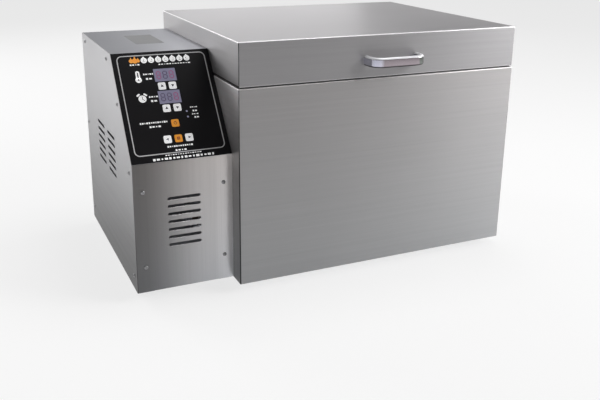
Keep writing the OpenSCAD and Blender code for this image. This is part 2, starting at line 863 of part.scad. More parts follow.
module lid_shell() {
    wall = [sheet_t, sheet_t, sheet_t];
    fold = [rim_w, rim_w, 0];
    color(steel) difference() {
        folded_box(lid_low, lid_high, bend_r);
        folded_box(lid_low + wall, lid_high - wall, bend_r - sheet_t);
        block(lid_low + fold - [0, 0, 1], lid_high - fold - [0, 0, lid_h - sheet_t - 1]);
        for (x = handle_screw_xs) rod_y([x, -1, handle_mid_z], cut, medium_screw[0]);
        hinge_screw_holes(1, cabinet_d - cut / 2, cut);
    }
}

module lid_pan() {
    gap = bend_r + sheet_gap;
    low = lid_low + [gap, gap, sheet_t];
    high = [cabinet_w - low[0], cabinet_d - gap, low[2] + liner_t];
    fold = [rim_w - gap + 6, rim_w - gap + 6, 0];
    lift = [0, 0, pan_rise];
    color(liner_steel) {
        difference() {
            block(low, high);
            block(low + fold + [liner_t, liner_t, -1], high - fold - [liner_t, liner_t, -1]);
        }
        difference() {
            block(low + fold, high - fold + lift);
            block(low + fold + [liner_t, liner_t, -1], high - fold + lift - [liner_t, liner_t, liner_t]);
        }
    }
}

module lid_insulation() {
    margin = 9;
    low = lid_low + [margin, margin, sheet_t + liner_t + sheet_gap];
    high = [cabinet_w - low[0], cabinet_d - margin, lid_top_z - sheet_t - sheet_gap];
    fold = rim_w + 6 - margin;
    color(wool) difference() {
        block(low, high);
        block([low[0] + fold, low[1] + fold, low[2] - 1],
              [high[0] - fold, high[1] - fold, lid_z + sheet_t + liner_t + pan_rise + sheet_gap]);
    }
}

module lid_gasket() {
    color(black) difference() {
        block(lid_low + [gasket_inset, gasket_inset, -lid_gap + 0.2],
              [lid_high[0] - gasket_inset, lid_high[1] - gasket_inset, lid_z]);
        block(lid_low + [gasket_inset + gasket_w, gasket_inset + gasket_w, -lid_gap - 1],
              [lid_high[0] - gasket_inset - gasket_w, lid_high[1] - gasket_inset - gasket_w, lid_z + 1]);
    }
}

module handle_section() {
    rounded_rect(handle_bar_t, handle_bar_h, handle_bar_t * 0.36);
}

module lid_handle() {
    // The bar's middle line: two legs square to the lid, two bends and a straight grip
    grip_y = -handle_reach + handle_bar_t / 2;
    leg_l = lid_inset - grip_y - handle_bend_r;
    grip_l = handle_pitch - 2 * handle_bend_r;
    color(zinc) difference() {
        translate([handle_mid_x, 0, handle_mid_z]) {
            translate([-grip_l / 2, grip_y, 0]) rotate([90, 0, 90]) linear_extrude(grip_l)
                handle_section();
            for (side = [-1, 1]) {
                translate([side * handle_pitch / 2, lid_inset, 0]) rotate([90, 0, 0])
                    linear_extrude(leg_l) handle_section();
                translate([side * grip_l / 2, grip_y + handle_bend_r, 0])
                    rotate([0, 0, side > 0 ? -90 : 180]) rotate_extrude(angle = 90, $fn = 96)
                        translate([handle_bend_r, 0]) handle_section();
            }
        }
        for (x = handle_screw_xs)
            rod_y([x, lid_inset - handle_thread_l, handle_mid_z], cut + handle_thread_l, medium_screw[0]);
    }
}

module handle_screws() {
    color(zinc) for (x = handle_screw_xs)
        translate([x, lid_inset + sheet_t, handle_mid_z]) rotate([-90, 0, 0])
            pan_screw(medium_screw, sheet_t + handle_thread_l - 0.5);
}

// Control housing

module control_housing() {
    left_in = -housing_w + housing_t;
    color(steel) difference() {
        union() {
            difference() {
                along_x(left_in, -left_in) bent_outline(housing_outline, bend_r);
                along_x(left_in - 1, -left_in + 1 - housing_t)
                    bent_outline(inset(housing_outline, housing_t), bend_r - housing_t);
            }
            // The folds that the side panel is screwed to
            difference() {
                along_x(left_in, housing_t)
                    bent_outline(inset(housing_outline, housing_t - 0.3), bend_r - housing_t);
                along_x(left_in - 1, housing_t + 2) polygon(inset(housing_outline, housing_fold_w));
            }
            // The folds that the front plate is screwed to
            for (x = [left_in, -housing_fold_w])
                block([x, housing_y + housing_t, cabinet_z + eps],
                      [x + housing_fold_w, housing_y + 2 * housing_t, slope_z]);
        }
        // The opening that the front plate closes
        block([-housing_w - 1, housing_y - 1, cabinet_z - 1],
              [1, housing_y + housing_t, slope_z]);
        for (place = side_screw_places)
            rod_x([-housing_w - 1, place[0], place[1]], cut, small_screw[0]);
        for (place = front_screw_places)
            rod_y([place[0], housing_y - 1, place[1]], cut, small_screw[0]);
        left_wall_holes(-housing_t - 1, housing_t + 2, 0);
        for (place = housing_foot_places)
            translate([place[0], place[1], cabinet_z - 1]) cylinder(h = cut, r = medium_screw[0]);
        rod_y([gland_x, housing_back_y - cut / 2, gland_z], cut, gland_thread_r);
        for (down = display_rows) at_panel(0, down) translate([0, 0, -cut / 2]) linear_extrude(cut)
            square([display_w + 2 * cut_margin, display_h + 2 * cut_margin], center = true);
        for (place = key_places) at_panel(place[0], place[1]) translate([0, 0, -cut / 2]) linear_extrude(cut)
            square([key_w + 2 * (key_flange + cut_margin), key_h + 2 * cut_margin], center = true);
        for (place = lamp_places) at_panel(place[0], place[1]) translate([0, 0, -cut / 2])
            cylinder(h = cut, r = lamp_r + cut_margin);
        for (place = standoff_places) at_panel(place[0], place[1]) translate([0, 0, -cut / 2])
            cylinder(h = cut / 2 + 0.5, r = standoff_thread_r);
    }
}

module side_panel() {
    color(steel) difference() {
        along_x(-housing_w, housing_t) bent_outline(housing_outline, bend_r);
        for (place = side_screw_places)
            rod_x([-housing_w - 1, place[0], place[1]], cut, small_screw[0]);
        for (column = [0, 1], row = [0:side_vent_rows - 1])
            translate([-housing_w - 1, side_vent_y + column * side_vent_pitch,
                       side_vent_z + row * vent_step])
                rotate([90, 0, 90]) linear_extrude(cut) slot_outline(side_vent_l, vent_w);
    }
}

module front_plate() {
    color(steel) difference() {
        intersection() {
            block([-housing_w + housing_t, housing_y, cabinet_z], [0, housing_y + housing_t, slope_z]);
            along_x(-housing_w, housing_w) bent_outline(housing_outline, bend_r);
        }
        for (place = front_screw_places)
            rod_y([place[0], housing_y - 1, place[1]], cut, small_screw[0]);
        for (row = [0:front_vent_rows - 1])
            translate([-housing_w / 2, housing_y - 1, front_vent_z + row * vent_step])
                rotate([-90, 0, 0]) linear_extrude(cut) slot_outline(front_vent_l, vent_w);
    }
}

module housing_screws() {
    color(zinc) {
        for (place = side_screw_places)
            translate([-housing_w, place[0], place[1]]) rotate([0, -90, 0])
                pan_screw(small_screw, 2 * housing_t);
        for (place = front_screw_places)
            translate([place[0], housing_y, place[1]]) rotate([90, 0, 0])
                pan_screw(small_screw, 2 * housing_t);
    }
}

// Control panel

// Across and down for each key, in the order of the key nodes
key_places = [
    [-key_pitch / 2, key_rows[0]], [key_pitch / 2, key_rows[0]],
    [-key_pitch / 2, key_rows[1]], [key_pitch / 2, key_rows[1]],
    [0, key_rows[2]], [-key_pitch, key_rows[3]], [0, key_rows[3]], [key_pitch, key_rows[3]]
];
standoff_places = [
    for (x = [-1, 1], y = [-1, 1])
        [x * (board_w / 2 - standoff_inset), board_mid + y * (board_l / 2 - standoff_inset)]
];

module panel_overlay() {
    edge = 0.3;
    color(black) difference() {
        on_slope() block([edge, edge, 0], [housing_w - edge, slope_l - edge, overlay_t]);
        for (down = display_rows) at_panel(0, down) translate([0, 0, -1]) linear_extrude(overlay_t + 2)
            rounded_rect(display_w, display_h, 1);
        for (place = key_places) at_panel(place[0], place[1]) translate([0, 0, -1])
            linear_extrude(overlay_t + 2)
                rounded_rect(key_w + 2 * key_gap, key_h + 2 * key_gap, key_corner_r + key_gap);
        for (place = lamp_places) at_panel(place[0], place[1]) translate([0, 0, -1])
            cylinder(h = overlay_t + 2, r = lamp_r);
    }
}

module display_windows() {
    color([0.35, 0.36, 0.45]) for (down = display_rows) at_panel(0, down)
        linear_extrude(overlay_t - 0.1) rounded_rect(display_w, display_h, 1);
}

module display_modules() {
    color(black) for (down = display_rows) at_panel(0, down)
        translate([0, 0, -board_drop + board_t])
            linear_extrude(board_drop - board_t - 0.2) square([display_w - 1, display_h - 1], center = true);
}

module indicator_lamps() {
    color([0.62, 0.62, 0.78]) for (place = lamp_places) at_panel(place[0], place[1]) {
        translate([0, 0, -board_drop + board_t]) cylinder(h = board_drop - board_t + 0.2, r = lamp_r);
        rotate_extrude() intersection() {
            translate([0, 0.2 - lamp_r]) circle(lamp_r * 1.42);
            translate([0, 0.2 - eps]) square([lamp_r, lamp_r]);
        }
    }
}

module control_board() {
    switch_w = 6;
    switch_top = -(key_stem + key_travel + 0.1);
    color([0.10, 0.36, 0.20]) {
        difference() {
            at_panel(0, board_mid) translate([-board_w / 2, -board_l / 2, -board_drop])
                cube([board_w, board_l, board_t]);
            for (place = standoff_places) at_panel(place[0], place[1]) translate([0, 0, -board_drop - 1])
                cylinder(h = board_t + 2, r = standoff_thread_r);
        }
        for (place = key_places) at_panel(place[0], place[1])
            translate([0, 0, -board_drop + board_t - eps]) {
                translate([-switch_w / 2, -switch_w / 2, 0]) cube([switch_w, switch_w, 3.5]);
                cylinder(h = board_drop - board_t + switch_top + eps, r = 1.75);
            }
    }
}

module board_standoffs() {
    color(zinc) for (place = standoff_places) at_panel(place[0], place[1]) {
        translate([0, 0, -board_drop + board_t]) cylinder(h = board_drop - board_t - housing_t, r = 3);
        translate([0, 0, -board_drop - 2]) cylinder(h = board_drop + 2 - 0.1, r = standoff_thread_r);
    }
}

// A key with rounded corners and a flange on each side that keeps it under the overlay
module key_cap(place) {
    key_top = overlay_t + key_proud;
    edge = 0.3;
    at_panel(place[0], place[1]) {
        translate([0, 0, -key_stem]) linear_extrude(key_stem + key_top - edge)
            rounded_rect(key_w, key_h, key_corner_r);
        translate([0, 0, key_top - edge - eps]) linear_extrude(edge + eps)
            rounded_rect(key_w - 1, key_h - 1, key_corner_r - 0.5);
        translate([0, 0, -key_rest_gap - key_flange_t]) linear_extrude(key_flange_t)
            rounded_rect(key_w + 2 * key_flange, key_h, key_corner_r);
    }
}

module key_temperature_up() { color(white) key_cap(key_places[0]); }
module key_temperature_down() { color(white) key_cap(key_places[1]); }
module key_time_up() { color(white) key_cap(key_places[2]); }
module key_time_down() { color(white) key_cap(key_places[3]); }
module key_heat() { color(orange) key_cap(key_places[4]); }
module key_forward() { color(white) key_cap(key_places[5]); }
module key_stop() { color(orange) key_cap(key_places[6]); }
module key_reverse() { color(white) key_cap(key_places[7]); }

// Drive

module gearbox() {
    corner_r = 6;
    nose_rim = 8;
    nose_gap = 4;
    color([0.30, 0.31, 0.33]) difference() {
        union() {
            along_x(gearbox_x - gearbox_l, gearbox_l) translate([gearbox_y, gearbox_z])
                rounded_rect(gearbox_side, gearbox_side, corner_r);
            rod_x([gearbox_x, axis_y, axis_z], spacer_l - nose_gap, shaft_d / 2 + nose_rim);
        }
        for (place = bolt_places) rod_x([gearbox_x - gearbox_l - 1, place[0], place[1]],
                                        gearbox_l + 2, bolt_r);
        at_axis() rod_x([gearbox_x - shaft_seat, 0, 0], shaft_seat + spacer_l,
                        shaft_d / 2 + running_gap);
    }
}

module drive_motor() {
    body_r = gearbox_side / 2 - 2;
    fin_count = 9;
    fin_pitch = motor_l * 0.62 / fin_count;
    motor_x = gearbox_x - gearbox_l;
    color([0.55, 0.57, 0.60]) translate([motor_x, gearbox_y, gearbox_z]) rotate([0, -90, 0]) {
        cylinder(h = motor_l * 0.12, r = body_r);
        cylinder(h = motor_l, r = body_r - 4);
        for (fin = [1:fin_count]) translate([0, 0, motor_l * 0.12 + fin * fin_pitch])
            cylinder(h = fin_pitch * 0.4, r = body_r);
        translate([0, 0, motor_l * 0.84]) cylinder(h = motor_l * 0.16, r = body_r);
    }
}

module gearbox_spacers() {
    color(zinc) for (place = bolt_places) difference() {
        rod_x([gearbox_x, place[0], place[1]], spacer_l, bolt_r + 3);
        rod_x([gearbox_x - 1, place[0], place[1]], spacer_l + 2, bolt_r);
    }
}

module gearbox_bolts() {
    head_h = 4;
    grip_l = gearbox_l + spacer_l + housing_t + sheet_t;
    color(zinc) for (place = bolt_places) translate([gearbox_x - gearbox_l, place[0], place[1]]) {
        rod_x([-head_h, 0, 0], grip_l + head_h + bolt_nut_h + 1, bolt_r);
        translate([-head_h, 0, 0]) rotate([0, 90, 0]) cylinder(h = head_h, r = bolt_r * 1.8, $fn = 6);
        translate([grip_l, 0, 0]) rotate([0, 90, 0]) cylinder(h = bolt_nut_h, r = bolt_r * 1.8, $fn = 6);
    }
}

module run_capacitor() {
    size = capacitor_size;
    tab = capacitor_tab;
    blade = capacitor_blade;
    color(white) translate(capacitor_foot) {
        translate([-size[0], 0, 0]) cube(size);
        translate([-tab[0], -tab[1], 0]) cube([tab[0], size[1] + 2 * tab[1], tab[2]]);
        for (share = [0.25, 0.75])
            translate([-size[0] - blade[0], size[1] * share - blade[1] / 2, size[2] * 0.42])
                cube(blade + [eps, 0, 0]);
    }
}

module heater_relay() {
    base = relay_base;
    cover = relay_cover;
    color([0.15, 0.15, 0.17]) translate(relay_foot) {
        translate([-base[0], 0, 0]) cube(base);
        translate([-base[0] - cover[0], (base[1] - cover[1]) / 2, (base[2] - cover[2]) / 2])
            cube(cover + [eps, 0, 0]);
        for (y = [-1, 1], z = [-1, 1])
            rod_x([-base[0] - cover[0] - relay_post[0], base[1] / 2 + y * cover[1] * 0.34,
                   base[2] / 2 + z * cover[2] * 0.3], relay_post[0] + eps, relay_post[1]);
    }
}

module terminal_block() {
    ways = 8;
    rib = terminal_rib;
    color([0.20, 0.20, 0.21]) translate(terminal_foot) {
        translate([-terminal_base_h, 0, 0])
            cube([terminal_base_h, ways * terminal_way_l + rib[1], rib[2]]);
        for (way = [0:ways]) translate([-terminal_base_h - rib[0], way * terminal_way_l, 0])
            cube(rib + [eps, 0, 0]);
        for (way = [0:ways - 1], share = [0.25, 0.75])
            rod_x([-terminal_base_h - terminal_screw, (way + 0.5) * terminal_way_l + rib[1] / 2,
                   rib[2] * share], terminal_screw + eps, terminal_screw);
    }
}

module cable_gland() {
    thread_l = 11;
    body_l = 6;
    neck_l = 3;
    cap_l = 8;
    dome_l = 10;
    hex_r = 13.5;
    cap_z = body_l + neck_l;
    color(black) translate([gland_x, housing_back_y, gland_z]) rotate([-90, 0, 0]) difference() {
        union() {
            translate([0, 0, -thread_l]) cylinder(h = thread_l + eps, r = gland_thread_r);
            cylinder(h = body_l, r = hex_r, $fn = 6);
            cylinder(h = cap_z, r = gland_thread_r + 0.5);
            translate([0, 0, cap_z - eps]) cylinder(h = cap_l, r = hex_r - 1.4, $fn = 6);
            translate([0, 0, cap_z + cap_l - 2 * eps])
                cylinder(h = dome_l, r1 = gland_thread_r + 1, r2 = gland_bore_r + 1.5);
        }
        translate([0, 0, -thread_l - 1]) cylinder(h = 60, r = gland_bore_r);
    }
}

module gland_locknut() {
    nut_h = 5;
    color(black) translate([gland_x, housing_back_y - housing_t - nut_h, gland_z]) rotate([-90, 0, 0])
        difference() {
            cylinder(h = nut_h, r = 14, $fn = 6);
            translate([0, 0, -1]) cylinder(h = nut_h + 2, r = gland_thread_r);
        }
}

// Drum and its drive

module drive_shaft() {
    start_x = gearbox_x - shaft_seat + 1;
    color(zinc) at_axis() rod_x([start_x, 0, 0], tongue_slot_x - 0.2 - start_x, shaft_d / 2);
}

module drive_coupling() {
    color(zinc) at_axis() difference() {
        rod_x([coupling_x, 0, 0], coupling_end_x - coupling_x, coupling_d / 2);
        rod_x([coupling_x - 1, 0, 0], tongue_slot_x - coupling_x + 2, shaft_d / 2);
        block([tongue_slot_x, -tongue_t / 2 - tongue_gap, -coupling_d],
              [coupling_end_x + 1, tongue_t / 2 + tongue_gap, coupling_d]);
    }
}

// True where a drum slot at this angle and place would cut the loading opening's surround
function near_mouth(angle, x) =
    abs(angle - 90) < hatch_half_angle + 8 && x > rail_x - slot_l / 2 - 8
    && x < rail_x + rail_l + slot_l / 2;

module drum_shell() {
    slot_pitch = drum_l / slots_along;
    color(liner_steel) at_axis() difference() {
        along_x(drum_x, drum_l) difference() {
            circle(drum_r, $fn = 180);
            circle(drum_r - drum_t, $fn = 180);
        }
        along_x(mouth_start_x, mouth_l)
            ring_sector(drum_r - 10, drum_r + 5, 90 - mouth_half_angle, 90 + mouth_half_angle);
        for (around = [0:slots_around - 1], along = [0:slots_along - 1]) {
            angle = (slots_first_angle + 360 * (around + 0.5) / slots_around) % 360;
            x = drum_x + slot_pitch * (along + 0.5);
            if (!near_mouth(angle, x)) rotate([angle - 90, 0, 0]) translate([x, 0, drum_r - 5])
                linear_extrude(10) slot_outline(slot_l, slot_w);
        }
    }
}

module drum_end_disc(x) {
    at_axis() rod_x([x, 0, 0], end_disc_t, drum_r - drum_t);
}

module drum_drive_end() {
    hub_r = tongue_w / 2 + 6;
    color(liner_steel) {
        drum_end_disc(drum_x);
        at_axis() {
            rod_x([drum_x - end_disc_t, 0, 0], end_disc_t + eps, hub_r);
            block([tongue_slot_x + 1, -tongue_t / 2, -tongue_w / 2],
                  [drum_x, tongue_t / 2, tongue_w / 2]);
        }
    }
}

module drum_journal_end() {
    boss_t = 3;
    boss_rim = 14;
    color(liner_steel) {
        drum_end_disc(drum_end_x - end_disc_t);
        at_axis() {
            rod_x([drum_end_x - eps, 0, 0], boss_t, journal_d / 2 + boss_rim);
            rod_x([drum_end_x - eps, 0, 0], chamber_end_x - drum_end_x - 1, journal_d / 2);
        }
    }
}

module drum_flights() {
    end_gap = 3;
    color(liner_steel) at_axis() for (angle = flight_angles) rotate([angle - 90, 0, 0])
        block([drum_x + end_gap, -flight_t / 2, drum_r - drum_t - flight_h],
              [drum_end_x - end_gap, flight_t / 2, drum_r - drum_t - 0.05]);
}

module hatch_rails() {
    foot_in = hatch_half_angle + rail_gap_angle;
    foot_out = foot_in + rail_width_angle;
    color(zinc) at_axis() for (side = [-1, 1]) {
        along_x(rail_x, rail_l) rail_sector(drum_r, rail_top_r, side, foot_in, foot_out);
        along_x(rail_x, rail_l)
            rail_sector(rail_top_r - rail_lip, rail_top_r, side, foot_in - rail_lap_angle, foot_out);
    }
}

// A sector on one side of the top of the drum, between two angles from the vertical
module rail_sector(r_in, r_out, side, near, far) {
    ring_sector(r_in, r_out, min(90 + side * near, 90 + side * far), max(90 + side * near, 90 + side * far));
}

module drum_hatch() {
    top_r = hatch_r + hatch_t;
    pull_x = hatch_x + hatch_l - 12;
    pull_t = 2;
    pull_h = 6;
    pull_half_angle = 12;
    bead_w = 5;
    bead_h = 1.5;
    bead_half_angle = 20;
    color(steel) at_axis() {
        along_x(hatch_x, hatch_l)
            ring_sector(hatch_r, top_r, 90 - hatch_half_angle, 90 + hatch_half_angle);
        // The pull is a folded tab across the hatch
        along_x(pull_x, pull_t)
            ring_sector(top_r - eps, top_r + pull_h, 90 - pull_half_angle, 90 + pull_half_angle);
        // Two pressed beads stiffen the hatch
        for (share = [0.3, 0.6]) along_x(hatch_x + hatch_l * share, bead_w)
            ring_sector(top_r - eps, top_r + bead_h, 90 - bead_half_angle, 90 + bead_half_angle);
    }
}

placed() cabinet_wrap();
placed() back_panel();
placed() back_panel_screws();
placed() base_plate();
placed() chamber_liner();
placed() insulation();
placed() heater_tubes();
placed() heater_terminals();
placed() heater_supports();
placed() journal_cradle();
placed() cradle_screws();
placed() shaft_bushing();
placed() temperature_probe();
placed() feet();
placed() foot_screws();
placed() cabinet_hinge_leaves();
placed() hinge_pins();
placed() control_housing();
placed() side_panel();
placed() front_plate();
placed() housing_screws();
placed() panel_overlay();
placed() display_windows();
placed() display_modules();
placed() indicator_lamps();
placed() control_board();
placed() board_standoffs();
placed() gearbox();
placed() drive_motor();
placed() gearbox_spacers();
placed() gearbox_bolts();
placed() run_capacitor();
placed() heater_relay();
placed() terminal_block();
placed() cable_gland();
placed() gland_locknut();
placed() lid_shell();
placed() lid_pan();
placed() lid_insulation();
placed() lid_gasket();
placed() lid_handle();
placed() handle_screws();
placed() lid_hinge_leaves();
placed() lid_hinge_screws();
placed() drive_shaft();
placed() drive_coupling();
placed() drum_shell();
placed() drum_drive_end();
placed() drum_journal_end();
placed() drum_flights();
placed() hatch_rails();
placed() drum_hatch();
placed() key_temperature_up();
placed() key_temperature_down();
placed() key_time_up();
placed() key_time_down();
placed() key_heat();
placed() key_forward();
placed() key_stop();
placed() key_reverse();
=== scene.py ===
import bpy
import bmesh
import json
import math
from mathutils import Matrix, Vector


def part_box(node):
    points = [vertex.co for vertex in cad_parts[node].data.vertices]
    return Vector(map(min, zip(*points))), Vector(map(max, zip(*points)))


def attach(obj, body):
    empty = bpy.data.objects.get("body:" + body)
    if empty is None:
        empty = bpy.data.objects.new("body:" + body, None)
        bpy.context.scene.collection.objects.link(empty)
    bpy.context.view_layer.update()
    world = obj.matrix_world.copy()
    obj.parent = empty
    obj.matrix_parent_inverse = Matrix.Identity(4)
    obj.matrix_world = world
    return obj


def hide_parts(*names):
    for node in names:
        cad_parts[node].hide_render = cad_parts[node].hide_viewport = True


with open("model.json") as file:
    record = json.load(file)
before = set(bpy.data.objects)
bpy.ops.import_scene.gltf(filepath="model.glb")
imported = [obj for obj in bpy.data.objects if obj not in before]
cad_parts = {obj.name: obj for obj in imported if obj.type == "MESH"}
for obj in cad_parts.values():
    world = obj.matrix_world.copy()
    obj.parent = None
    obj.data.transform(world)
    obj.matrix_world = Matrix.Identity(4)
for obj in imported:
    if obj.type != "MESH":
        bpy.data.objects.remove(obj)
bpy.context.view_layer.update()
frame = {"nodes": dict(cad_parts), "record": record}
nodes = frame["nodes"]
print("frame loaded:", len(nodes), "CAD nodes")


# Camera: where the photograph was taken from, measured from the cabinet's lower front left corner

cameraSettings = {
    "place": (-0.4626, -1.2555, 0.6700),
    "azimuth": math.radians(-24.90),
    "elevation": math.radians(16.81),
    "roll": math.radians(0.74),
    "focalPixels": 778.2,
    "imageWidth": 600,
    "axisAboveCentre": 50,      # pixels from the image's middle up to the optical axis
}


def makeCamera(s):
    az, el = s["azimuth"], s["elevation"]
    back = Vector((math.sin(az) * math.cos(el), -math.cos(az) * math.cos(el), math.sin(el)))
    level = Vector((0, 0, 1)).cross(back).normalized()
    right = level * math.cos(s["roll"]) + back.cross(level) * math.sin(s["roll"])
    up = back.cross(right)
    camera = bpy.data.cameras.new("camera")
    camera.sensor_fit = "HORIZONTAL"
    camera.sensor_width = 36
    camera.lens = 36 * s["focalPixels"] / s["imageWidth"]
    camera.shift_y = -s["axisAboveCentre"] / s["imageWidth"]
    camera.clip_end = 60
    holder = bpy.data.objects.new("camera", camera)
    turned = Matrix((right, up, back)).transposed().to_4x4()
    holder.matrix_world = Matrix.Translation(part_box("cabinet_wrap")[0] + Vector(s["place"])) @ turned
    bpy.context.collection.objects.link(holder)
    bpy.context.scene.camera = holder


makeCamera(cameraSettings)
print("camera placed")


# Node helpers

def startMaterial(name):
    mat = bpy.data.materials.new(name)
    mat.use_nodes = True
    tree = mat.node_tree
    shader = tree.nodes["Principled BSDF"]
    return mat, tree, shader


def addNode(tree, kind, inputs=None, **props):
    node = tree.nodes.new(kind)
    for key, value in props.items():
        setattr(node, key, value)
    for key, value in (inputs or {}).items():
        if isinstance(value, bpy.types.NodeSocket):
            tree.links.new(value, node.inputs[key])
        else:
            node.inputs[key].default_value = value
    return node


def maths(tree, operation, a, b=0.0, c=0.0):
    node = addNode(tree, "ShaderNodeMath", {0: a, 1: b, 2: c}, operation=operation)
    return node.outputs[0]


def noise(tree, vector, scale, detail=3.0, roughness=0.5):
    node = addNode(tree, "ShaderNodeTexNoise",
                   {"Vector": vector, "Scale": scale, "Detail": detail, "Roughness": roughness})
    return node.outputs["Fac"]


def ranged(tree, value, low, high, fromLow=0.0, fromHigh=1.0):
    node = addNode(tree, "ShaderNodeMapRange",
                   {"Value": value, "From Min": fromLow, "From Max": fromHigh, "To Min": low, "To Max": high})
    return node.outputs["Result"]


def objectPlace(tree):
    return addNode(tree, "ShaderNodeTexCoord").outputs["Object"]


def scaledColour(tree, colour, factor):
    if not isinstance(colour, bpy.types.NodeSocket):
        colour = colour[:3]
    node = addNode(tree, "ShaderNodeVectorMath", {0: colour, "Scale": factor}, operation="SCALE")
    return node.outputs[0]


def blendColour(tree, factor, first, second):
    node = addNode(tree, "ShaderNodeMix", {"Factor": factor}, data_type="RGBA")
    for index, value in ((6, first), (7, second)):
        if isinstance(value, bpy.types.NodeSocket):
            tree.links.new(value, node.inputs[index])
        else:
            node.inputs[index].default_value = (*value[:3], 1)
    return node.outputs[2]


def bump(tree, shader, height, strength, distance):
    node = addNode(tree, "ShaderNodeBump", {"Height": height, "Strength": strength, "Distance": distance})
    tree.links.new(node.outputs[0], shader.inputs["Normal"])


# Materials

# Besides their grain these steels carry painted light: a painted shade ramp across each panel, painted light on bends,
# a painted shadow along the lid's seam, painted light and shade on the left wall, and a painted reflection tint top to
# bottom
steelSettings = {
    "lidSteel": {"colour": (0.408, 0.399, 0.408), "grain": "level", "rough": (0.36, 0.44),
                 "fade": ("lid_shell", 1, 0.92, 1.14), "bend": 1.5, "hem": ("lid_shell", 0.0032, 0.0012)},
    "cabinetSteel": {"colour": (0.411, 0.397, 0.399), "low": ("cabinet_wrap", (0.396, 0.400, 0.408)), "grain": "level", "rough": (0.37, 0.45), "bend": 0.9,
                     "wall": ("cabinet_wrap", 0.55, 0.95, 0.52, 2.5)},
    "housingSteel": {"colour": (0.395, 0.398, 0.426), "grain": "level", "rough": (0.36, 0.44),
                     "fade": ("control_housing", 0, 0.86, 1.10), "bend": 0.8},
    "sidePanelSteel": {"colour": (0.402, 0.398, 0.411), "grain": "level", "rough": (0.36, 0.44),
                       "fade": ("side_panel", 2, 0.2, 1.13)},
    "frontPlateSteel": {"colour": (0.418, 0.396, 0.388), "grain": "upright", "rough": (0.35, 0.43),
                        "fade": ("front_plate", 0, 0.46, 1.95), "bow": 0.0016, "low": ("front_plate", (0.392, 0.397, 0.412))},
}
steelMetal = 0.75               # the rest scatters light as a satin finish does
steelSpread = 0.9               # how far the grain draws a reflection out across itself


def acrossNode(tree, nodeName, axis):
    # 0 at one side of a node's box and 1 at the other
    low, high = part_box(nodeName)
    place = addNode(tree, "ShaderNodeSeparateXYZ", {0: objectPlace(tree)}).outputs[axis]
    return ranged(tree, place, 0.0, 1.0, low[axis], high[axis])


def softShare(tree, share):
    node = addNode(tree, "ShaderNodeMapRange", {"Value": share}, interpolation_type="SMOOTHSTEP")
    return node.outputs["Result"]


def paintedBendLight(tree, normal, shine):
    # Painted light on bends: painted bright along a level edge, and painted dark then bright across an upright one
    parts = addNode(tree, "ShaderNodeSeparateXYZ", {0: normal}).outputs
    sizes = [maths(tree, "ABSOLUTE", part) for part in parts]
    largest = maths(tree, "MAXIMUM", maths(tree, "MAXIMUM", sizes[0], sizes[1]), sizes[2])
    bent = ranged(tree, largest, 1.0, 0.0, 0.93, 0.995)
    sideways = maths(tree, "GREATER_THAN", sizes[0], maths(tree, "MULTIPLY", sizes[1], 0.25))
    upright = addNode(tree, "ShaderNodeMix", {0: sideways, 2: 1.4, 3: 0.08}).outputs[0]
    level = maths(tree, "GREATER_THAN", sizes[2], 0.3)
    edge = addNode(tree, "ShaderNodeMix", {0: level, 2: upright, 3: 1.0 + shine}).outputs[0]
    return addNode(tree, "ShaderNodeMix", {0: bent, 2: 1.0, 3: edge}).outputs[0]


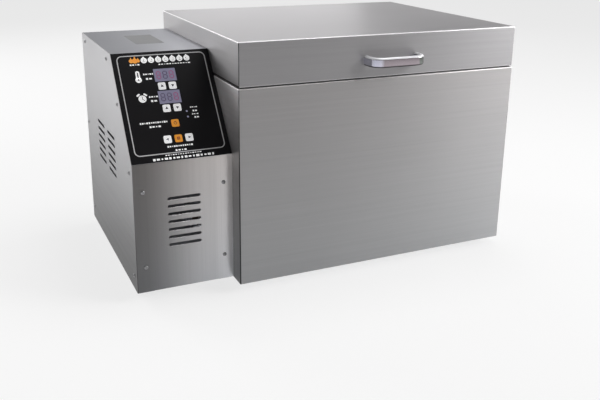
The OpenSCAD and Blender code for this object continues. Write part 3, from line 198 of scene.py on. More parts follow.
def brushedSteel(name, colour, grain, rough, fade=None, bow=0.0, bend=0.0, hem=None, wall=None, low=None):
    mat, tree, shader = startMaterial(name)
    links = tree.links
    place = addNode(tree, "ShaderNodeSeparateXYZ", {0: objectPlace(tree)})
    x, y, z = place.outputs
    normal = addNode(tree, "ShaderNodeNewGeometry").outputs["Normal"]
    facing = addNode(tree, "ShaderNodeSeparateXYZ", {0: normal}).outputs[2]
    onTop = maths(tree, "GREATER_THAN", maths(tree, "ABSOLUTE", facing), 0.7)
    around = maths(tree, "ADD", x, y)
    if grain == "level":
        along = addNode(tree, "ShaderNodeMix", {0: onTop, 2: around, 3: x}).outputs[0]
        across = addNode(tree, "ShaderNodeMix", {0: onTop, 2: z, 3: y}).outputs[0]
    else:
        along = addNode(tree, "ShaderNodeMix", {0: onTop, 2: z, 3: y}).outputs[0]
        across = addNode(tree, "ShaderNodeMix", {0: onTop, 2: around, 3: x}).outputs[0]

    def streaks(alongScale, acrossScale, detail):
        vector = addNode(tree, "ShaderNodeCombineXYZ",
                         {0: maths(tree, "MULTIPLY", along, alongScale),
                          1: maths(tree, "MULTIPLY", across, acrossScale), 2: onTop}).outputs[0]
        return noise(tree, vector, 1.0, detail, 0.6)

    fine = streaks(4.0, 900.0, 2.0)
    broad = streaks(1.2, 140.0, 3.0)
    cloud = noise(tree, objectPlace(tree), 3.2, 2.0)
    mixed = maths(tree, "ADD", maths(tree, "MULTIPLY", fine, 0.5), maths(tree, "MULTIPLY", broad, 0.5))
    tone = maths(tree, "MULTIPLY", ranged(tree, mixed, 0.93, 1.06, 0.3, 0.7),
                 ranged(tree, cloud, 0.97, 1.03, 0.3, 0.7))
    if fade:
        # Painted light and shade: the tone rises or falls across the node's box along one axis
        nodeName, axis, first, last = fade
        share = softShare(tree, acrossNode(tree, nodeName, axis))
        tone = maths(tree, "MULTIPLY", tone, ranged(tree, share, first, last))
    if bend:
        tone = maths(tree, "MULTIPLY", tone, paintedBendLight(tree, normal, bend))
    leftward = maths(tree, "LESS_THAN", addNode(tree, "ShaderNodeSeparateXYZ", {0: normal}).outputs[0], -0.7)
    if hem:
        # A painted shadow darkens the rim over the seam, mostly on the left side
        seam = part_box(hem[0])[0].z
        depth = addNode(tree, "ShaderNodeMix", {0: leftward, 2: seam + hem[2], 3: seam + hem[1]}).outputs[0]
        shade = addNode(tree, "ShaderNodeMix", {0: leftward, 2: 0.3, 3: 0.06}).outputs[0]
        rim = maths(tree, "LESS_THAN", z, depth)
        tone = maths(tree, "MULTIPLY", tone, addNode(tree, "ShaderNodeMix", {0: rim, 2: 1.0, 3: shade}).outputs[0])
    if wall:
        # Painted light and shade on the left-facing wall: darker low down, brighter towards the top
        nodeName, start, end, low1, high1 = wall
        height = ranged(tree, acrossNode(tree, nodeName, 2), 0.0, 1.0, start, end)
        shade = ranged(tree, softShare(tree, height), low1, high1)
        tone = maths(tree, "MULTIPLY", tone, addNode(tree, "ShaderNodeMix", {0: leftward, 2: 1.0, 3: shade}).outputs[0])
    if low:
        # Painted reflection tint: the low colour at the bottom blends into the given colour at the top
        nodeName, lowColour = low
        colour = blendColour(tree, acrossNode(tree, nodeName, 2), lowColour, colour)
    links.new(ranged(tree, mixed, rough[0], rough[1], 0.3, 0.7), shader.inputs["Roughness"])
    shader.inputs["Metallic"].default_value = steelMetal
    shader.inputs["Anisotropic"].default_value = steelSpread
    tangent = addNode(tree, "ShaderNodeMix", {"Factor": onTop}, data_type="VECTOR")
    tangent.inputs[4].default_value = (0, 0, 1)
    tangent.inputs[5].default_value = (0, 1, 0)
    links.new(tangent.outputs[1], shader.inputs["Tangent"])
    height = maths(tree, "MULTIPLY", fine, 0.000007)
    if bow:
        # The sheet bulges a little between its screws
        middle = maths(tree, "SUBTRACT", acrossNode(tree, fade[0], fade[1]), 0.5)
        bulge = maths(tree, "MULTIPLY", middle, maths(tree, "ABSOLUTE", middle))
        height = maths(tree, "MULTIPLY_ADD", bulge, 4 * bow, height)
        # Painted highlight: the tone rises towards the plate's right edge
        edge = ranged(tree, middle, 1.0, 1.25, 0.30, 0.47)
        tone = maths(tree, "MULTIPLY", tone, edge)
    links.new(scaledColour(tree, colour, tone), shader.inputs["Base Color"])
    bump(tree, shader, height, 1.0, 1.0)
    return mat


def millSteel(name, colour, rough=0.42, tint=None):
    mat, tree, shader = startMaterial(name)
    place = objectPlace(tree)
    cloud = noise(tree, place, 9.0, 5.0, 0.6)
    grit = noise(tree, place, 900.0, 2.0)
    base = scaledColour(tree, colour, ranged(tree, cloud, 0.86, 1.1, 0.3, 0.7))
    if tint:
        patches = ranged(tree, noise(tree, place, 5.0, 4.0), 0.0, 0.75, 0.42, 0.68)
        base = blendColour(tree, patches, base, tint)
    tree.links.new(base, shader.inputs["Base Color"])
    shader.inputs["Metallic"].default_value = 1.0
    tree.links.new(ranged(tree, cloud, rough - 0.08, rough + 0.1), shader.inputs["Roughness"])
    bump(tree, shader, grit, 0.12, 0.0001)
    return mat


def plainMetal(name, colour, rough, wear=0.06):
    mat, tree, shader = startMaterial(name)
    cloud = noise(tree, objectPlace(tree), 60.0, 3.0)
    tree.links.new(scaledColour(tree, colour, ranged(tree, cloud, 1 - wear, 1 + wear)), shader.inputs["Base Color"])
    tree.links.new(ranged(tree, cloud, rough * 0.8, rough * 1.25), shader.inputs["Roughness"])
    shader.inputs["Metallic"].default_value = 1.0
    return mat


def polished(name, rough):
    # Chrome with a painted reflection: painted bright above, painted dark below and with a painted dark band round each
    # end of the bar
    mat, tree, shader = startMaterial(name)
    normal = addNode(tree, "ShaderNodeNewGeometry").outputs["Normal"]
    parts = addNode(tree, "ShaderNodeSeparateXYZ", {0: normal}).outputs
    ramp = addNode(tree, "ShaderNodeValToRGB", {0: ranged(tree, parts[0], 0.0, 1.0, -1.0, 1.0)})
    stops = ramp.color_ramp.elements
    for place, colour in paintedChromeBands[1:-1]:
        stops.new(place)
    for stop, (place, colour) in zip(stops, paintedChromeBands):
        stop.position = place
        stop.color = (*colour, 1)
    cloud = noise(tree, objectPlace(tree), 60.0, 3.0)
    above = ranged(tree, parts[2], 0.0, 1.0, 0.12, 0.38)
    below = ranged(tree, parts[2], 0.0, 1.0, -0.15, -0.5)
    shade = blendColour(tree, above, ramp.outputs[0], (0.97, 0.97, 1.0))
    shade = blendColour(tree, below, shade, (0.05, 0.045, 0.05))
    tree.links.new(scaledColour(tree, shade, ranged(tree, cloud, 0.98, 1.02)), shader.inputs["Base Color"])
    tree.links.new(ranged(tree, above, 1.0, 0.15), shader.inputs["Metallic"])
    tree.links.new(ranged(tree, cloud, rough * 0.8, rough * 1.25), shader.inputs["Roughness"])
    return mat


# Painted reflection colours of the chrome, by which way its surface faces sideways
paintedChromeBands = [
    (0.0, (0.78, 0.78, 0.88)), (0.04, (0.50, 0.50, 0.57)), (0.13, (0.62, 0.62, 0.74)), (0.32, (0.68, 0.67, 0.78)),
    (0.45, (0.35, 0.305, 0.33)), (0.54, (0.35, 0.305, 0.33)), (0.64, (0.17, 0.19, 0.17)), (1.0, (0.30, 0.30, 0.31)),
]


def moulded(name, colour, rough=0.45, grain=0.15, grainScale=1400.0, variation=0.06, shine=0.5, paintedGlow=0.0):
    mat, tree, shader = startMaterial(name)
    place = objectPlace(tree)
    fine = noise(tree, place, grainScale, 2.0)
    cloud = noise(tree, place, 22.0, 3.0)
    tree.links.new(scaledColour(tree, colour, ranged(tree, cloud, 1 - variation, 1 + variation)),
                   shader.inputs["Base Color"])
    tree.links.new(ranged(tree, fine, rough - 0.05, rough + 0.07), shader.inputs["Roughness"])
    shader.inputs["Specular IOR Level"].default_value = shine
    # A faint glow in the part's own colour is painted light that brightens it
    shader.inputs["Emission Color"].default_value = (*colour, 1)
    shader.inputs["Emission Strength"].default_value = paintedGlow
    bump(tree, shader, fine, grain, 0.0001)
    return mat


def fibre(name, colour):
    mat, tree, shader = startMaterial(name)
    place = objectPlace(tree)
    strands = noise(tree, place, 160.0, 8.0, 0.75)
    tree.links.new(scaledColour(tree, colour, ranged(tree, strands, 0.65, 1.2, 0.3, 0.7)), shader.inputs["Base Color"])
    shader.inputs["Roughness"].default_value = 0.95
    bump(tree, shader, strands, 0.8, 0.003)
    return mat


def glow(name, colour, strength, rough=0.3):
    mat, tree, shader = startMaterial(name)
    fine = noise(tree, objectPlace(tree), 500.0, 2.0)
    shade = scaledColour(tree, colour, ranged(tree, fine, 0.92, 1.08))
    tree.links.new(shade, shader.inputs["Base Color"])
    tree.links.new(shade, shader.inputs["Emission Color"])
    shader.inputs["Emission Strength"].default_value = strength
    shader.inputs["Roughness"].default_value = rough
    return mat


materials = {name: brushedSteel(name, **s) for name, s in steelSettings.items()}
materials.update({
    "linerSteel": millSteel("linerSteel", (0.50, 0.49, 0.475), 0.40),
    "drumSteel": millSteel("drumSteel", (0.47, 0.45, 0.42), 0.38, tint=(0.36, 0.25, 0.14)),
    "zincPlate": plainMetal("zincPlate", (0.62, 0.63, 0.66), 0.34, 0.1),
    "screwSteel": plainMetal("screwSteel", (0.36, 0.36, 0.37), 0.32),
    "chrome": polished("chrome", 0.15),
    "bearingIron": millSteel("bearingIron", (0.16, 0.15, 0.145), 0.5),
    "bronze": plainMetal("bronze", (0.60, 0.40, 0.16), 0.35, 0.12),
    "heaterSheath": millSteel("heaterSheath", (0.17, 0.13, 0.11), 0.5, tint=(0.10, 0.07, 0.09)),
    "mineralWool": fibre("mineralWool", (0.62, 0.56, 0.42)),
    "footRubber": moulded("footRubber", (0.022, 0.022, 0.023), 0.7, 0.3),
    "gasketRubber": moulded("gasketRubber", (0.03, 0.03, 0.03), 0.6, 0.3),
    "panelFilm": moulded("panelFilm", (0.005, 0.0045, 0.006), 0.34, 0.05, 900.0, 0.1, 0.2),
    "blackMoulding": moulded("blackMoulding", (0.025, 0.025, 0.026), 0.5, 0.2),
    "whiteMoulding": moulded("whiteMoulding", (0.78, 0.78, 0.76), 0.45),
    "circuitBoard": moulded("circuitBoard", (0.03, 0.16, 0.07), 0.4, 0.2, 400.0, 0.2),
    "gearboxPaint": moulded("gearboxPaint", (0.12, 0.13, 0.15), 0.4, 0.3, 700.0),
    "motorCasting": millSteel("motorCasting", (0.50, 0.51, 0.53), 0.5),
    # The last number of the display windows, lamp lenses, white and orange keys and prints is a painted glow
    "displayWindow": moulded("displayWindow", (0.30, 0.29, 0.42), 0.16, 0.02, 1200.0, 0.08, 0.5, 0.12),
    "lampLens": moulded("lampLens", (0.42, 0.42, 0.60), 0.2, 0.05, 1400.0, 0.06, 0.5, 0.3),
    "keyWhite": moulded("keyWhite", (0.93, 0.93, 0.94), 0.38, 0.12, 1100.0, 0.02, 0.5, 0.28),
    "keyOrange": moulded("keyOrange", (0.90, 0.36, 0.03), 0.38, 0.12, 1100.0, 0.04, 0.5, 0.15),
    "printWhite": moulded("printWhite", (0.93, 0.93, 0.93), 0.4, 0.05, 900.0, 0.03, 0.5, 0.3),
    "printGrey": moulded("printGrey", (0.62, 0.62, 0.63), 0.4, 0.05, 900.0, 0.05),
    "printOrange": moulded("printOrange", (0.90, 0.36, 0.04), 0.4, 0.05, 900.0, 0.05, 0.5, 0.15),
    "printDark": moulded("printDark", (0.02, 0.02, 0.022), 0.4, 0.05, 900.0, 0.05),
    "printRed": moulded("printRed", (0.28, 0.03, 0.02), 0.4, 0.05, 900.0, 0.05),
    "printSoft": moulded("printSoft", (0.22, 0.24, 0.26), 0.4, 0.05, 900.0, 0.05),
    "segmentLit": glow("segmentLit", (0.34, 0.10, 0.22), 0.2),
    "segmentDim": moulded("segmentDim", (0.13, 0.10, 0.19), 0.3, 0.02),
    "plateGrey": moulded("plateGrey", (0.13, 0.13, 0.135), 0.42, 0.1, 600.0, 0.08),
})

nodeFinish = {
    "lidSteel": ["lid_shell"],
    "cabinetSteel": ["cabinet_wrap", "back_panel"],
    "housingSteel": ["control_housing"],
    "sidePanelSteel": ["side_panel"],
    "frontPlateSteel": ["front_plate"],
    "linerSteel": ["chamber_liner", "heater_supports", "temperature_probe", "lid_pan"],
    "drumSteel": ["drum_shell", "drum_drive_end", "drum_journal_end", "drum_flights", "hatch_rails", "drum_hatch"],
    "zincPlate": ["base_plate", "heater_terminals", "cabinet_hinge_leaves", "hinge_pins", "lid_hinge_leaves",
                  "board_standoffs", "drive_shaft", "drive_coupling"],
    "screwSteel": ["back_panel_screws", "cradle_screws", "foot_screws", "lid_hinge_screws", "housing_screws",
                   "gearbox_spacers", "gearbox_bolts", "handle_screws"],
    "chrome": ["lid_handle"],
    "bearingIron": ["journal_cradle"],
    "bronze": ["shaft_bushing"],
    "heaterSheath": ["heater_tubes"],
    "mineralWool": ["insulation", "lid_insulation"],
    "footRubber": ["feet"],
    "gasketRubber": ["lid_gasket"],
    "panelFilm": ["panel_overlay"],
    "displayWindow": ["display_windows"],
    "lampLens": ["indicator_lamps"],
    "blackMoulding": ["display_modules", "heater_relay", "terminal_block", "cable_gland", "gland_locknut"],
    "circuitBoard": ["control_board"],
    "gearboxPaint": ["gearbox"],
    "motorCasting": ["drive_motor"],
    "whiteMoulding": ["run_capacitor"],
    "keyWhite": ["key_temperature_up", "key_temperature_down", "key_time_up", "key_time_down", "key_forward",
                 "key_reverse"],
    "keyOrange": ["key_heat", "key_stop"],
}
finishOf = {node: finish for finish, members in nodeFinish.items() for node in members}
for name, node in nodes.items():
    node.data.materials.clear()
    node.data.materials.append(materials[finishOf[name]])
print("materials made:", len(materials))


# Piece helpers

def finishPiece(name, bm, material, body, replaced=(), smoothAngle=30):
    mesh = bpy.data.meshes.new(name)
    for face in bm.faces:
        face.smooth = True
    limit = math.radians(smoothAngle)
    for edge in bm.edges:
        edge.smooth = len(edge.link_faces) == 2 and edge.calc_face_angle(0) < limit
    bm.to_mesh(mesh)
    bm.free()
    piece = bpy.data.objects.new(name, mesh)
    bpy.context.collection.objects.link(piece)
    mesh.materials.append(materials[material])
    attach(piece, body)
    if replaced:
        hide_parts(*replaced)
    return piece


def mergedCopy(nodeName):
    bm = bmesh.new()
    bm.from_mesh(nodes[nodeName].data)
    bmesh.ops.remove_doubles(bm, verts=bm.verts, dist=0.000002)
    return bm


bodyOf = {node: body for body, members in frame["record"]["behaviour"]["bodies"].items() for node in members}


def pieceName(nodeName):
    first, *others = nodeName.split("_")
    return first + "".join(word.title() for word in others)


def roundedCopy(nodeName, smoothAngle=30):
    # The node's own shape with its doubles merged, shaded smoothly round its bends
    piece = finishPiece(pieceName(nodeName), mergedCopy(nodeName), finishOf[nodeName], bodyOf[nodeName],
                        (nodeName,), smoothAngle)
    weighted = piece.modifiers.new("weighted", "WEIGHTED_NORMAL")
    weighted.keep_sharp = True
    return piece


roundForms = [
    "lid_shell", "lid_pan", "cabinet_wrap", "back_panel", "control_housing", "side_panel", "front_plate",
    "chamber_liner", "drum_shell", "drum_drive_end", "drum_journal_end", "drum_flights", "hatch_rails",
    "drum_hatch", "drive_shaft", "drive_coupling", "journal_cradle", "shaft_bushing", "heater_tubes",
    "heater_terminals", "heater_supports", "temperature_probe", "lid_gasket", "feet", "cable_gland",
    "gland_locknut", "cabinet_hinge_leaves", "lid_hinge_leaves", "hinge_pins", "indicator_lamps",
    "gearbox", "drive_motor", "run_capacitor", "gearbox_spacers", "gearbox_bolts", "foot_screws",
    "cradle_screws", "handle_screws", "display_windows", "panel_overlay",
] + [name for name in nodes if name.startswith("key_")]


def looseBoxes(nodeName):
    # Lowest and highest corner of every separate solid of a node
    bm = mergedCopy(nodeName)
    boxes = []
    waiting = set(bm.verts)
    while waiting:
        group = [waiting.pop()]
        for vert in group:
            for edge in vert.link_edges:
                other = edge.other_vert(vert)
                if other in waiting:
                    waiting.remove(other)
                    group.append(other)
        low = Vector([min(v.co[i] for v in group) for i in range(3)])
        high = Vector([max(v.co[i] for v in group) for i in range(3)])
        boxes.append((low, high))
    bm.free()
    return sorted(boxes, key=lambda b: tuple(round(c, 5) for c in b[0]))


for nodeName in roundForms:
    roundedCopy(nodeName)
print("rounded pieces made:", len(roundForms))


# Panel: prints lie on the sloped overlay, placed from its upper left corner in millimetres

panelSettings = {
    "run": 0.1325,
    "rise": 0.174,
    "overlay": 0.001,
    "ink": 0.00004,
    "keyTop": 0.0016,
}
housingLow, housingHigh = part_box("side_panel")
panelTilt = math.atan2(panelSettings["rise"], panelSettings["run"])
panelCorner = Vector((housingLow.x, housingLow.y + panelSettings["run"], housingHigh.z))
panelMatrix = Matrix.Translation(panelCorner) @ Matrix.Rotation(panelTilt, 4, "X")


def panelSpot(across, down, height=0.0, turn=0.0):
    spot = Matrix.Translation((across / 1000, -down / 1000, height))
    return panelMatrix @ spot @ Matrix.Rotation(math.radians(turn), 4, "Z")


def inkRect(bm, across, down, w, h, height, turn=0.0, corner=0.0):
    made = bmesh.ops.create_grid(bm, x_segments=1, y_segments=1, size=0.5)
    bmesh.ops.scale(bm, vec=(w / 1000, h / 1000, 1), verts=made["verts"])
    verts = made["verts"]
    if corner:
        cut = bmesh.ops.bevel(bm, geom=verts, offset=corner / 1000, offset_type="OFFSET", segments=6,
                              profile=0.5, affect="VERTICES", material=-1)
        verts = cut["verts"]
    bmesh.ops.transform(bm, matrix=panelSpot(across, down, height, turn), verts=verts)
    return verts


def inkDisc(bm, across, down, r, height, sides=28):
    made = bmesh.ops.create_circle(bm, cap_ends=True, segments=sides, radius=r / 1000)
    bmesh.ops.transform(bm, matrix=panelSpot(across, down, height), verts=made["verts"])
    return made["verts"]


def inkTriangle(bm, across, down, r, height, turn=0.0):
    made = bmesh.ops.create_circle(bm, cap_ends=True, segments=3, radius=r / 1000)
    bmesh.ops.transform(bm, matrix=panelSpot(across, down, height, turn), verts=made["verts"])
    return made["verts"]


def hollow(bm, verts, width):
    # Turns a flat printed shape into its outline
    face = next(f for f in verts[0].link_faces if all(v in verts for v in f.verts))
    bmesh.ops.inset_individual(bm, faces=[face], thickness=width / 1000, use_even_offset=True)
    bmesh.ops.delete(bm, geom=[face], context="FACES_ONLY")


def raiseInk(bm, thickness):
    # Gives the flat shapes their thickness along the panel's outward direction
    bmesh.ops.recalc_face_normals(bm, faces=bm.faces)
    outward = panelMatrix.to_3x3() @ Vector((0, 0, 1))
    grown = bmesh.ops.extrude_face_region(bm, geom=bm.faces[:])
    verts = [g for g in grown["geom"] if isinstance(g, bmesh.types.BMVert)]
    bmesh.ops.translate(bm, vec=outward * thickness, verts=verts)
    bmesh.ops.recalc_face_normals(bm, faces=bm.faces)


def markRow(bm, across, down, width, h, count, height):
    # A row of plain marks of uneven width in the place of a line of lettering
    step = width / count
    for index in range(count):
        share = 0.62 + 0.22 * math.sin(index * 2.4)
        inkRect(bm, across + (index + 0.5) * step, down, step * share, h * (0.82 + 0.18 * math.cos(index * 1.7)),
                height)


whitePrint = {
    "frame": (93, 105.5, 168, 199, 10, 1.8),
    "smallRows": [(52, 46, 20, 3.2, 5), (55, 55.5, 13, 3.8, 2), (54, 92, 18, 3.2, 4), (56, 100.5, 13, 3.8, 2),
                  (126, 119, 14, 2.2, 4), (129, 126.5, 10, 3.2, 2), (127, 133, 13, 2.2, 4), (130, 139.5, 10, 3.2, 2),
                  (28, 143, 52, 3.6, 13), (44, 151, 22, 3.6, 4), (69, 192, 48, 3.4, 12), (82, 200, 22, 3.4, 4),
                  (84, 27.5, 62, 2.2, 12), (31, 25.5, 19, 3.0, 4), (62, 207.8, 68, 1.9, 15),
                  (38, 214, 116, 4.3, 16)],
    "nuts": {"across": 59, "down": 17.5, "step": 13.6, "count": 7, "r": 5.9},
}


def nutMark(bm, across, down, r, height):
    # A rounded nut with a pointed tip
    verts = inkDisc(bm, across, down, r, height, 16)
    tip = max(verts, key=lambda v: v.co.z)
    bmesh.ops.translate(bm, vec=panelMatrix.to_3x3() @ Vector((0, r * 0.00042, 0)), verts=[tip])
    return verts


def makeWhitePrint(s):
    bm = bmesh.new()
    level = panelSettings["overlay"]
    for row in s["smallRows"]:
        markRow(bm, *row, level)
    nuts = s["nuts"]
    for index in range(nuts["count"]):
        across = nuts["across"] + index * nuts["step"]
        nutMark(bm, across, nuts["down"], nuts["r"], level)
    # Thermometer: the tube and the bulb
    inkRect(bm, 42.5, 47.5, 7.6, 18, level, corner=3.7)
    inkDisc(bm, 42.5, 56.5, 5.8, level)
    # Alarm clock: face and bells
    inkDisc(bm, 42.5, 95, 7.2, level)
    for side in (-1, 1):
        inkRect(bm, 42.5 + side * 6.5, 86.8, 7.5, 3.2, level, turn=-side * 38, corner=1.5)
    raiseInk(bm, panelSettings["ink"])
    finishPiece("panelPrintWhite", bm, "printWhite", "cabinet")
    print("white panel print made")


def makeGreyFrame(s):
    bm = bmesh.new()
    across, down, w, h, corner, line = s["frame"]
    outline = inkRect(bm, across, down, w, h, panelSettings["overlay"], corner=corner)
    hollow(bm, outline, line)
    raiseInk(bm, panelSettings["ink"])
    finishPiece("panelFrameLine", bm, "printGrey", "cabinet")


def makeDarkPrint():
    # What is printed black on top of the white icons
    bm = bmesh.new()
    level = panelSettings["overlay"] + panelSettings["ink"]
    inkRect(bm, 42.5, 47.2, 2.3, 11, level, corner=1.1)
    inkDisc(bm, 42.5, 56.5, 1.7, level)
    inkRect(bm, 42.5, 92.6, 1.3, 6.2, level)
    inkRect(bm, 44.6, 97.0, 5.4, 1.3, level, turn=-38)
    nuts = whitePrint["nuts"]
    for index in range(nuts["count"]):
        across = nuts["across"] + index * nuts["step"]
        inkRect(bm, across, nuts["down"] + 2.9, 5.2, 0.9, level)
        inkRect(bm, across + 1.4 * math.sin(index * 1.9), nuts["down"] - 0.8, 0.9, 3.6, level, turn=18 * (index % 3 - 1))
    raiseInk(bm, panelSettings["ink"])
    finishPiece("panelPrintDark", bm, "printDark", "cabinet")


def makeOrangePrint():
    bm = bmesh.new()
    level = panelSettings["overlay"]
    for across, r in ((35.5, 4.2), (42.5, 5.2), (48.5, 3.4)):
        flame = inkDisc(bm, across, 17.5, r, level, 20)
        tip = max(flame, key=lambda v: v.co.z)
        bmesh.ops.translate(bm, vec=panelMatrix.to_3x3() @ Vector((r * 0.0001, r * 0.0009, 0)), verts=[tip])
    raiseInk(bm, panelSettings["ink"])
    finishPiece("panelPrintOrange", bm, "printOrange", "cabinet")


makeWhitePrint(whitePrint)
makeGreyFrame(whitePrint)
makeDarkPrint()
makeOrangePrint()


# Displays: three figures of seven bars in each window

displaySettings = {
    "rows": [49.5, 94.6],
    "middle": 93,
    "figureStep": 12.2,
    "figure": (7.0, 14.5),
    "bar": 1.9,
    "lean": -8,
    "lit": {(0, 0), (0, 2), (1, 2)},
}


def figureBars(bm, across, down, s, level):
    w, h = s["figure"]
    bar = s["bar"]
    places = [(0, h / 2, True), (0, 0, True), (0, -h / 2, True)]
    places += [(side * w / 2, up * h / 4, False) for side in (-1, 1) for up in (-1, 1)]
    for x, y, lying in places:
        size = (w - bar * 0.7, bar) if lying else (bar, h / 2 - bar * 0.7)
        inkRect(bm, across + x, down - y, *size, level, corner=bar * 0.35)


def makeFigures(s):
    for lit in (True, False):
        bm = bmesh.new()
        for rowIndex, down in enumerate(s["rows"]):
            for figure in range(3):
                if ((rowIndex, figure) in s["lit"]) == lit:
                    across = s["middle"] + (figure - 1) * s["figureStep"]
                    figureBars(bm, across, down, s, panelSettings["overlay"] - 0.0001)
        raiseInk(bm, panelSettings["ink"])
        name = "displayFiguresLit" if lit else "displayFiguresDim"
        finishPiece(name, bm, "segmentLit" if lit else "segmentDim", "cabinet")
    print("display figures made")


makeFigures(displaySettings)


# Signs on the keys, which ride on their own keys

keySigns = {
    "key_temperature_up": ("up", "printDark"),
    "key_temperature_down": ("down", "printDark"),
    "key_time_up": ("up", "printDark"),
    "key_time_down": ("down", "printDark"),
    "key_heat": ("ring", "printRed"),
    "key_forward": ("left", "printSoft"),
    "key_stop": ("square", "printRed"),
    "key_reverse": ("right", "printSoft"),
}
signTurn = {"up": 0, "left": 90, "down": 180, "right": 270}


def onPanel(nodeName):
    # A node's middle as places across and down the panel
    low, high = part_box(nodeName)
    spot = panelMatrix.inverted() @ ((low + high) / 2)
    return spot.x * 1000, -spot.y * 1000


def makeKeySign(node, sign, finish):
    bm = bmesh.new()
    across, down = onPanel(node)
    level = panelSettings["keyTop"]
    if sign in signTurn:
        inkTriangle(bm, across, down, 3.5, level, turn=signTurn[sign])
    elif sign == "ring":
        hollow(bm, inkDisc(bm, across, down, 3.1, level), 0.95)
        inkRect(bm, across, down - 2.4, 1.1, 3.4, level)
    else:
        hollow(bm, inkRect(bm, across, down, 5.6, 5.6, level), 1.3)
        inkRect(bm, across, down, 2.0, 2.0, level)
    raiseInk(bm, panelSettings["ink"])
    finishPiece("sign_" + node, bm, finish, node)


for node, (sign, finish) in keySigns.items():
    makeKeySign(node, sign, finish)
print("key signs made:", len(keySigns))


# Screws: round heads with a cross recess, where the CAD screws are

screwSettings = {
    "headHeight": 0.42,         # share of the head's radius
    "recess": 0.52,
    "recessWidth": 0.17,
    "sides": 32,
}


def screwHead(r, height):
    # A dome on +Z with its seat at the origin, and a cross cut in it
    dome = bmesh.new()
    steps = 6
    profile = [dome.verts.new((0.0, 0, -0.0002))]
    profile.append(dome.verts.new((r * 0.96, 0, -0.0002)))
    profile.append(dome.verts.new((r, 0, height * 0.12)))
    for step in range(1, steps + 1):
        angle = math.radians(90 * step / steps)
        profile.append(dome.verts.new((r * math.cos(angle) if step < steps else 0.0, 0,
                                       height * (0.12 + 0.88 * math.sin(angle)))))
    edges = [dome.edges.new((a, b)) for a, b in zip(profile, profile[1:])]
    bmesh.ops.spin(dome, geom=profile + edges, cent=(0, 0, 0), axis=(0, 0, 1), angle=2 * math.pi,
                   steps=screwSettings["sides"], use_merge=True)
    bmesh.ops.remove_doubles(dome, verts=dome.verts, dist=0.000001)
    bmesh.ops.recalc_face_normals(dome, faces=dome.faces)
    cutter = bmesh.new()
    reach, half = r * screwSettings["recess"], r * screwSettings["recessWidth"]
    for turn in (0, 90):
        made = bmesh.ops.create_cube(cutter, size=1.0)
        bmesh.ops.scale(cutter, vec=(2 * reach, 2 * half, height * 1.4), verts=made["verts"])
        bmesh.ops.rotate(cutter, cent=(0, 0, 0), matrix=Matrix.Rotation(math.radians(turn), 3, "Z"),
                         verts=made["verts"])
        bmesh.ops.translate(cutter, vec=(0, 0, height * 1.05), verts=made["verts"])
    holders = []
    for name, bm in (("dome", dome), ("cutter", cutter)):
        mesh = bpy.data.meshes.new(name)
        bm.to_mesh(mesh)
        bm.free()
        holder = bpy.data.objects.new(name, mesh)
        bpy.context.collection.objects.link(holder)
        holders.append(holder)
    cut = holders[0].modifiers.new("cross", "BOOLEAN")
    cut.operation = "DIFFERENCE"
    cut.solver = "EXACT"
    cut.use_self = True
    cut.object = holders[1]
    graph = bpy.context.evaluated_depsgraph_get()
    result = bpy.data.meshes.new_from_object(holders[0].evaluated_get(graph))
    for holder in holders:
        bpy.data.objects.remove(holder)
    return result


def makeScrews(name, nodeName, body, outward, headHeight):
    # outward gives, for a box, the way its screw's head points
    boxes = looseBoxes(nodeName)
    low, high = boxes[0]
    r = sorted(high - low)[1] / 2
    head = screwHead(r, headHeight)
    bm = bmesh.new()
    for index, (low, high) in enumerate(boxes):
        direction = outward(low, high)
        centre = (low + high) / 2
        reach = Vector([abs(c) for c in direction]).dot(high - low) / 2
        seat = centre + direction * (reach - headHeight)
        turn = Matrix.Rotation(0.7 + index * 1.3, 4, "Z")
        matrix = Matrix.Translation(seat) @ Vector((0, 0, 1)).rotation_difference(direction).to_matrix().to_4x4()
        single = bmesh.new()
        single.from_mesh(head)
        bmesh.ops.transform(single, matrix=matrix @ turn, verts=single.verts)
        spare = bpy.data.meshes.new("spare")
        single.to_mesh(spare)
        single.free()
        bm.from_mesh(spare)
        bpy.data.meshes.remove(spare)
    finishPiece(name, bm, "screwSteel", body, (nodeName,), 35)


def smallestWay(way):
    return lambda low, high: way


def housingWay(low, high):
    size = high - low
    return Vector((-1, 0, 0)) if size.x < size.y else Vector((0, -1, 0))


makeScrews("housingScrewHeads", "housing_screws", "cabinet", housingWay, 0.002)
makeScrews("backScrewHeads", "back_panel_screws", "cabinet", smallestWay(Vector((0, 1, 0))), 0.002)
makeScrews("lidHingeScrewHeads", "lid_hinge_screws", "lid", smallestWay(Vector((0, 1, 0))), 0.002)
print("screws made")


# Handle: a bent oval bar

handleSettings = {
    "barThickness": 0.009,
    "barHeight": 0.019,
    "edge": 0.0043,
    "bend": 0.020,
}


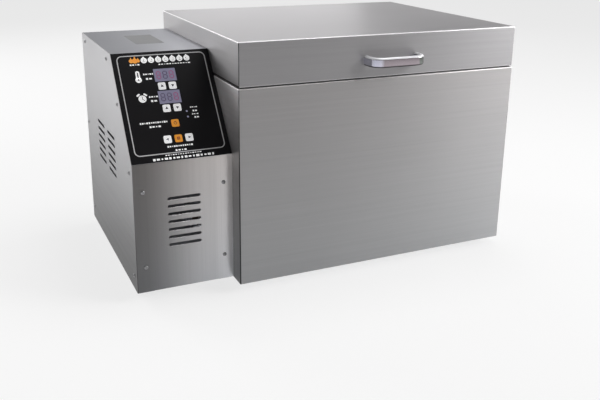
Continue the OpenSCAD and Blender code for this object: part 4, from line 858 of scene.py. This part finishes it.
def makeHandle(s):
    low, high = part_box("lid_handle")
    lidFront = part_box("lid_shell")[0].y
    middle = (low + high) / 2
    frontLine = low.y + s["barThickness"] / 2
    pitch = high.x - low.x - s["barThickness"]
    bm = bmesh.new()
    made = bmesh.ops.create_grid(bm, x_segments=1, y_segments=1, size=0.5)
    bmesh.ops.scale(bm, vec=(s["barThickness"], s["barHeight"], 1), verts=made["verts"])
    rounded = bmesh.ops.bevel(bm, geom=made["verts"], offset=s["edge"], offset_type="OFFSET", segments=8,
                              profile=0.5, affect="VERTICES", material=-1)
    start = Vector((middle.x - pitch / 2, lidFront, middle.z))
    bmesh.ops.rotate(bm, cent=(0, 0, 0), matrix=Matrix.Rotation(math.radians(90), 3, "X"), verts=bm.verts)
    bmesh.ops.translate(bm, vec=start, verts=bm.verts)
    section = bm.faces[:]
    legEnd = frontLine + s["bend"]

    def push(way):
        grown = bmesh.ops.extrude_face_region(bm, geom=section)
        bmesh.ops.translate(bm, vec=way, verts=[g for g in grown["geom"] if isinstance(g, bmesh.types.BMVert)])
        bmesh.ops.delete(bm, geom=section, context="FACES_ONLY")
        return [g for g in grown["geom"] if isinstance(g, bmesh.types.BMFace)]

    def turn(centre, angle):
        swept = bmesh.ops.spin(bm, geom=section, cent=centre, axis=(0, 0, 1), angle=angle, steps=16)
        bmesh.ops.delete(bm, geom=section, context="FACES_ONLY")
        return [g for g in swept["geom_last"] if isinstance(g, bmesh.types.BMFace)]

    section = push(Vector((0, legEnd - lidFront, 0)))
    section = turn((start.x + s["bend"], legEnd, middle.z), math.radians(90))
    section = push(Vector((pitch - 2 * s["bend"], 0, 0)))
    section = turn((start.x + pitch - s["bend"], legEnd, middle.z), math.radians(90))
    section = push(Vector((0, lidFront - legEnd, 0)))
    bmesh.ops.remove_doubles(bm, verts=bm.verts, dist=0.000001)
    bmesh.ops.recalc_face_normals(bm, faces=bm.faces)
    finishPiece("lidHandleBar", bm, "chrome", "lid", ("lid_handle",), 40)
    print("handle made")


makeHandle(handleSettings)


# A bare plate lies on top of the housing

plateSettings = {
    "across": (71, 128),        # millimetres from the housing's left side
    "back": (228, 344),         # millimetres from its front
    "thickness": 0.0005,
}


def makeTopPlate(s):
    bm = bmesh.new()
    made = bmesh.ops.create_cube(bm, size=1.0)
    across = [housingLow.x + a / 1000 for a in s["across"]]
    back = [housingLow.y + b / 1000 for b in s["back"]]
    bmesh.ops.scale(bm, vec=(across[1] - across[0], back[1] - back[0], s["thickness"]), verts=made["verts"])
    centre = Vector((sum(across) / 2, sum(back) / 2, housingHigh.z - s["thickness"] * 0.3))
    bmesh.ops.translate(bm, vec=centre, verts=made["verts"])
    upright = [e for e in bm.edges if abs(e.verts[0].co.z - e.verts[1].co.z) > s["thickness"] / 2]
    bmesh.ops.bevel(bm, geom=upright, offset=0.003, offset_type="OFFSET", segments=5, profile=0.5,
                    affect="EDGES", material=-1)
    finishPiece("topPlate", bm, "plateGrey", "cabinet")


makeTopPlate(plateSettings)


# Studio: a pale floor, a graded white surround and soft lamps

studioSettings = {
    "floorSize": 30.0,
    "floorColour": (0.93, 0.93, 0.93),
    "floorGlow": (0.72, 0.5),   # share of plain white that the camera and the metal see in the floor
    "skyBase": 0.20,
    "skyGlows": [               # azimuth from +Y towards +X, elevation, sharpness and strength
        (0, 8, 20, 1.6),
        (110, 12, 12, 0.6),
        (90, 30, 6, 0.3),
        (-60, 10, 8, 0.5),
    ],
    "lamps": {                  # place, target, size and power
        "overheadLamp": ((0.6, 0.0, 2.4), (0, 0, 0.3), 1.2, 19),
        "backLamp": ((1.2, 3.0, 1.2), (0, 0, 0.4), 1.2, 8),
        "leftBackLamp": ((-1.6, 2.4, 1.4), (0, 0, 0.3), 1.2, 23),
        "rightLamp": ((2.2, -1.6, 1.5), (0, 0, 0.2), 1.2, 37),
        "leftLamp": ((-2.4, 0.6, 1.8), (0, 0, 0.2), 1.2, 8),
    },
}


def makeFloor(s):
    bm = bmesh.new()
    bmesh.ops.create_grid(bm, x_segments=1, y_segments=1, size=s["floorSize"])
    mesh = bpy.data.meshes.new("floor")
    bm.to_mesh(mesh)
    bm.free()
    floor = bpy.data.objects.new("floor", mesh)
    bpy.context.collection.objects.link(floor)
    mat, tree, shader = startMaterial("floorPaper")
    tree.nodes.remove(shader)
    output = tree.nodes["Material Output"]
    lit = addNode(tree, "ShaderNodeBsdfDiffuse", {"Color": (*s["floorColour"], 1)})
    bright = addNode(tree, "ShaderNodeEmission", {"Color": (1, 1, 1, 1), "Strength": 1.0})
    path = addNode(tree, "ShaderNodeLightPath")
    mirrored = maths(tree, "MAXIMUM", path.outputs["Is Glossy Ray"], path.outputs["Is Transmission Ray"])
    seen = maths(tree, "MAXIMUM", maths(tree, "MULTIPLY", path.outputs["Is Camera Ray"], s["floorGlow"][0]),
                 maths(tree, "MULTIPLY", mirrored, s["floorGlow"][1]))
    mixed = addNode(tree, "ShaderNodeMixShader", {0: seen,
                                                  1: lit.outputs[0], 2: bright.outputs[0]})
    tree.links.new(mixed.outputs[0], output.inputs["Surface"])
    mesh.materials.append(mat)


def skyWay(azimuth, elevation):
    a, e = math.radians(azimuth), math.radians(elevation)
    return math.sin(a) * math.cos(e), math.cos(a) * math.cos(e), math.sin(e)


def makeWorld(s):
    world = bpy.data.worlds.new("studio")
    bpy.context.scene.world = world
    world.use_nodes = True
    tree = world.node_tree
    background = tree.nodes["Background"]
    way = addNode(tree, "ShaderNodeTexCoord").outputs["Generated"]
    total = s["skyBase"]
    for azimuth, elevation, sharpness, strength in s["skyGlows"]:
        near = addNode(tree, "ShaderNodeVectorMath", {0: way, 1: skyWay(azimuth, elevation)}, operation="DOT_PRODUCT")
        patch = maths(tree, "POWER", maths(tree, "MAXIMUM", near.outputs["Value"], 0.0), sharpness)
        total = maths(tree, "MULTIPLY_ADD", patch, strength, total)
    seen = addNode(tree, "ShaderNodeLightPath").outputs["Is Camera Ray"]
    grey = addNode(tree, "ShaderNodeCombineXYZ", {0: total, 1: total, 2: total}).outputs[0]
    tree.links.new(blendColour(tree, seen, grey, (1, 1, 1)), background.inputs["Color"])
    background.inputs["Strength"].default_value = 1.0


def makeLamp(name, place, target, size, power):
    lamp = bpy.data.lights.new(name, "AREA")
    lamp.shape = "SQUARE"
    lamp.size = size
    lamp.energy = power
    holder = bpy.data.objects.new(name, lamp)
    holder.location = place
    holder.rotation_euler = (Vector(target) - Vector(place)).to_track_quat("-Z", "Y").to_euler()
    holder.visible_camera = False
    bpy.context.collection.objects.link(holder)


makeFloor(studioSettings)
makeWorld(studioSettings)
for lampName, lampValues in studioSettings["lamps"].items():
    makeLamp(lampName, *lampValues)
# A faint lamp in the housing stands for the light that the vents let in
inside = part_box("front_plate")[1] + Vector((-0.09, 0.045, -0.04))
makeLamp("ventLamp", inside, inside + Vector((0, 0.05, -0.10)), 0.05, 0.12)

scene = bpy.context.scene
scene.view_settings.view_transform = "Standard"
print("studio lit")
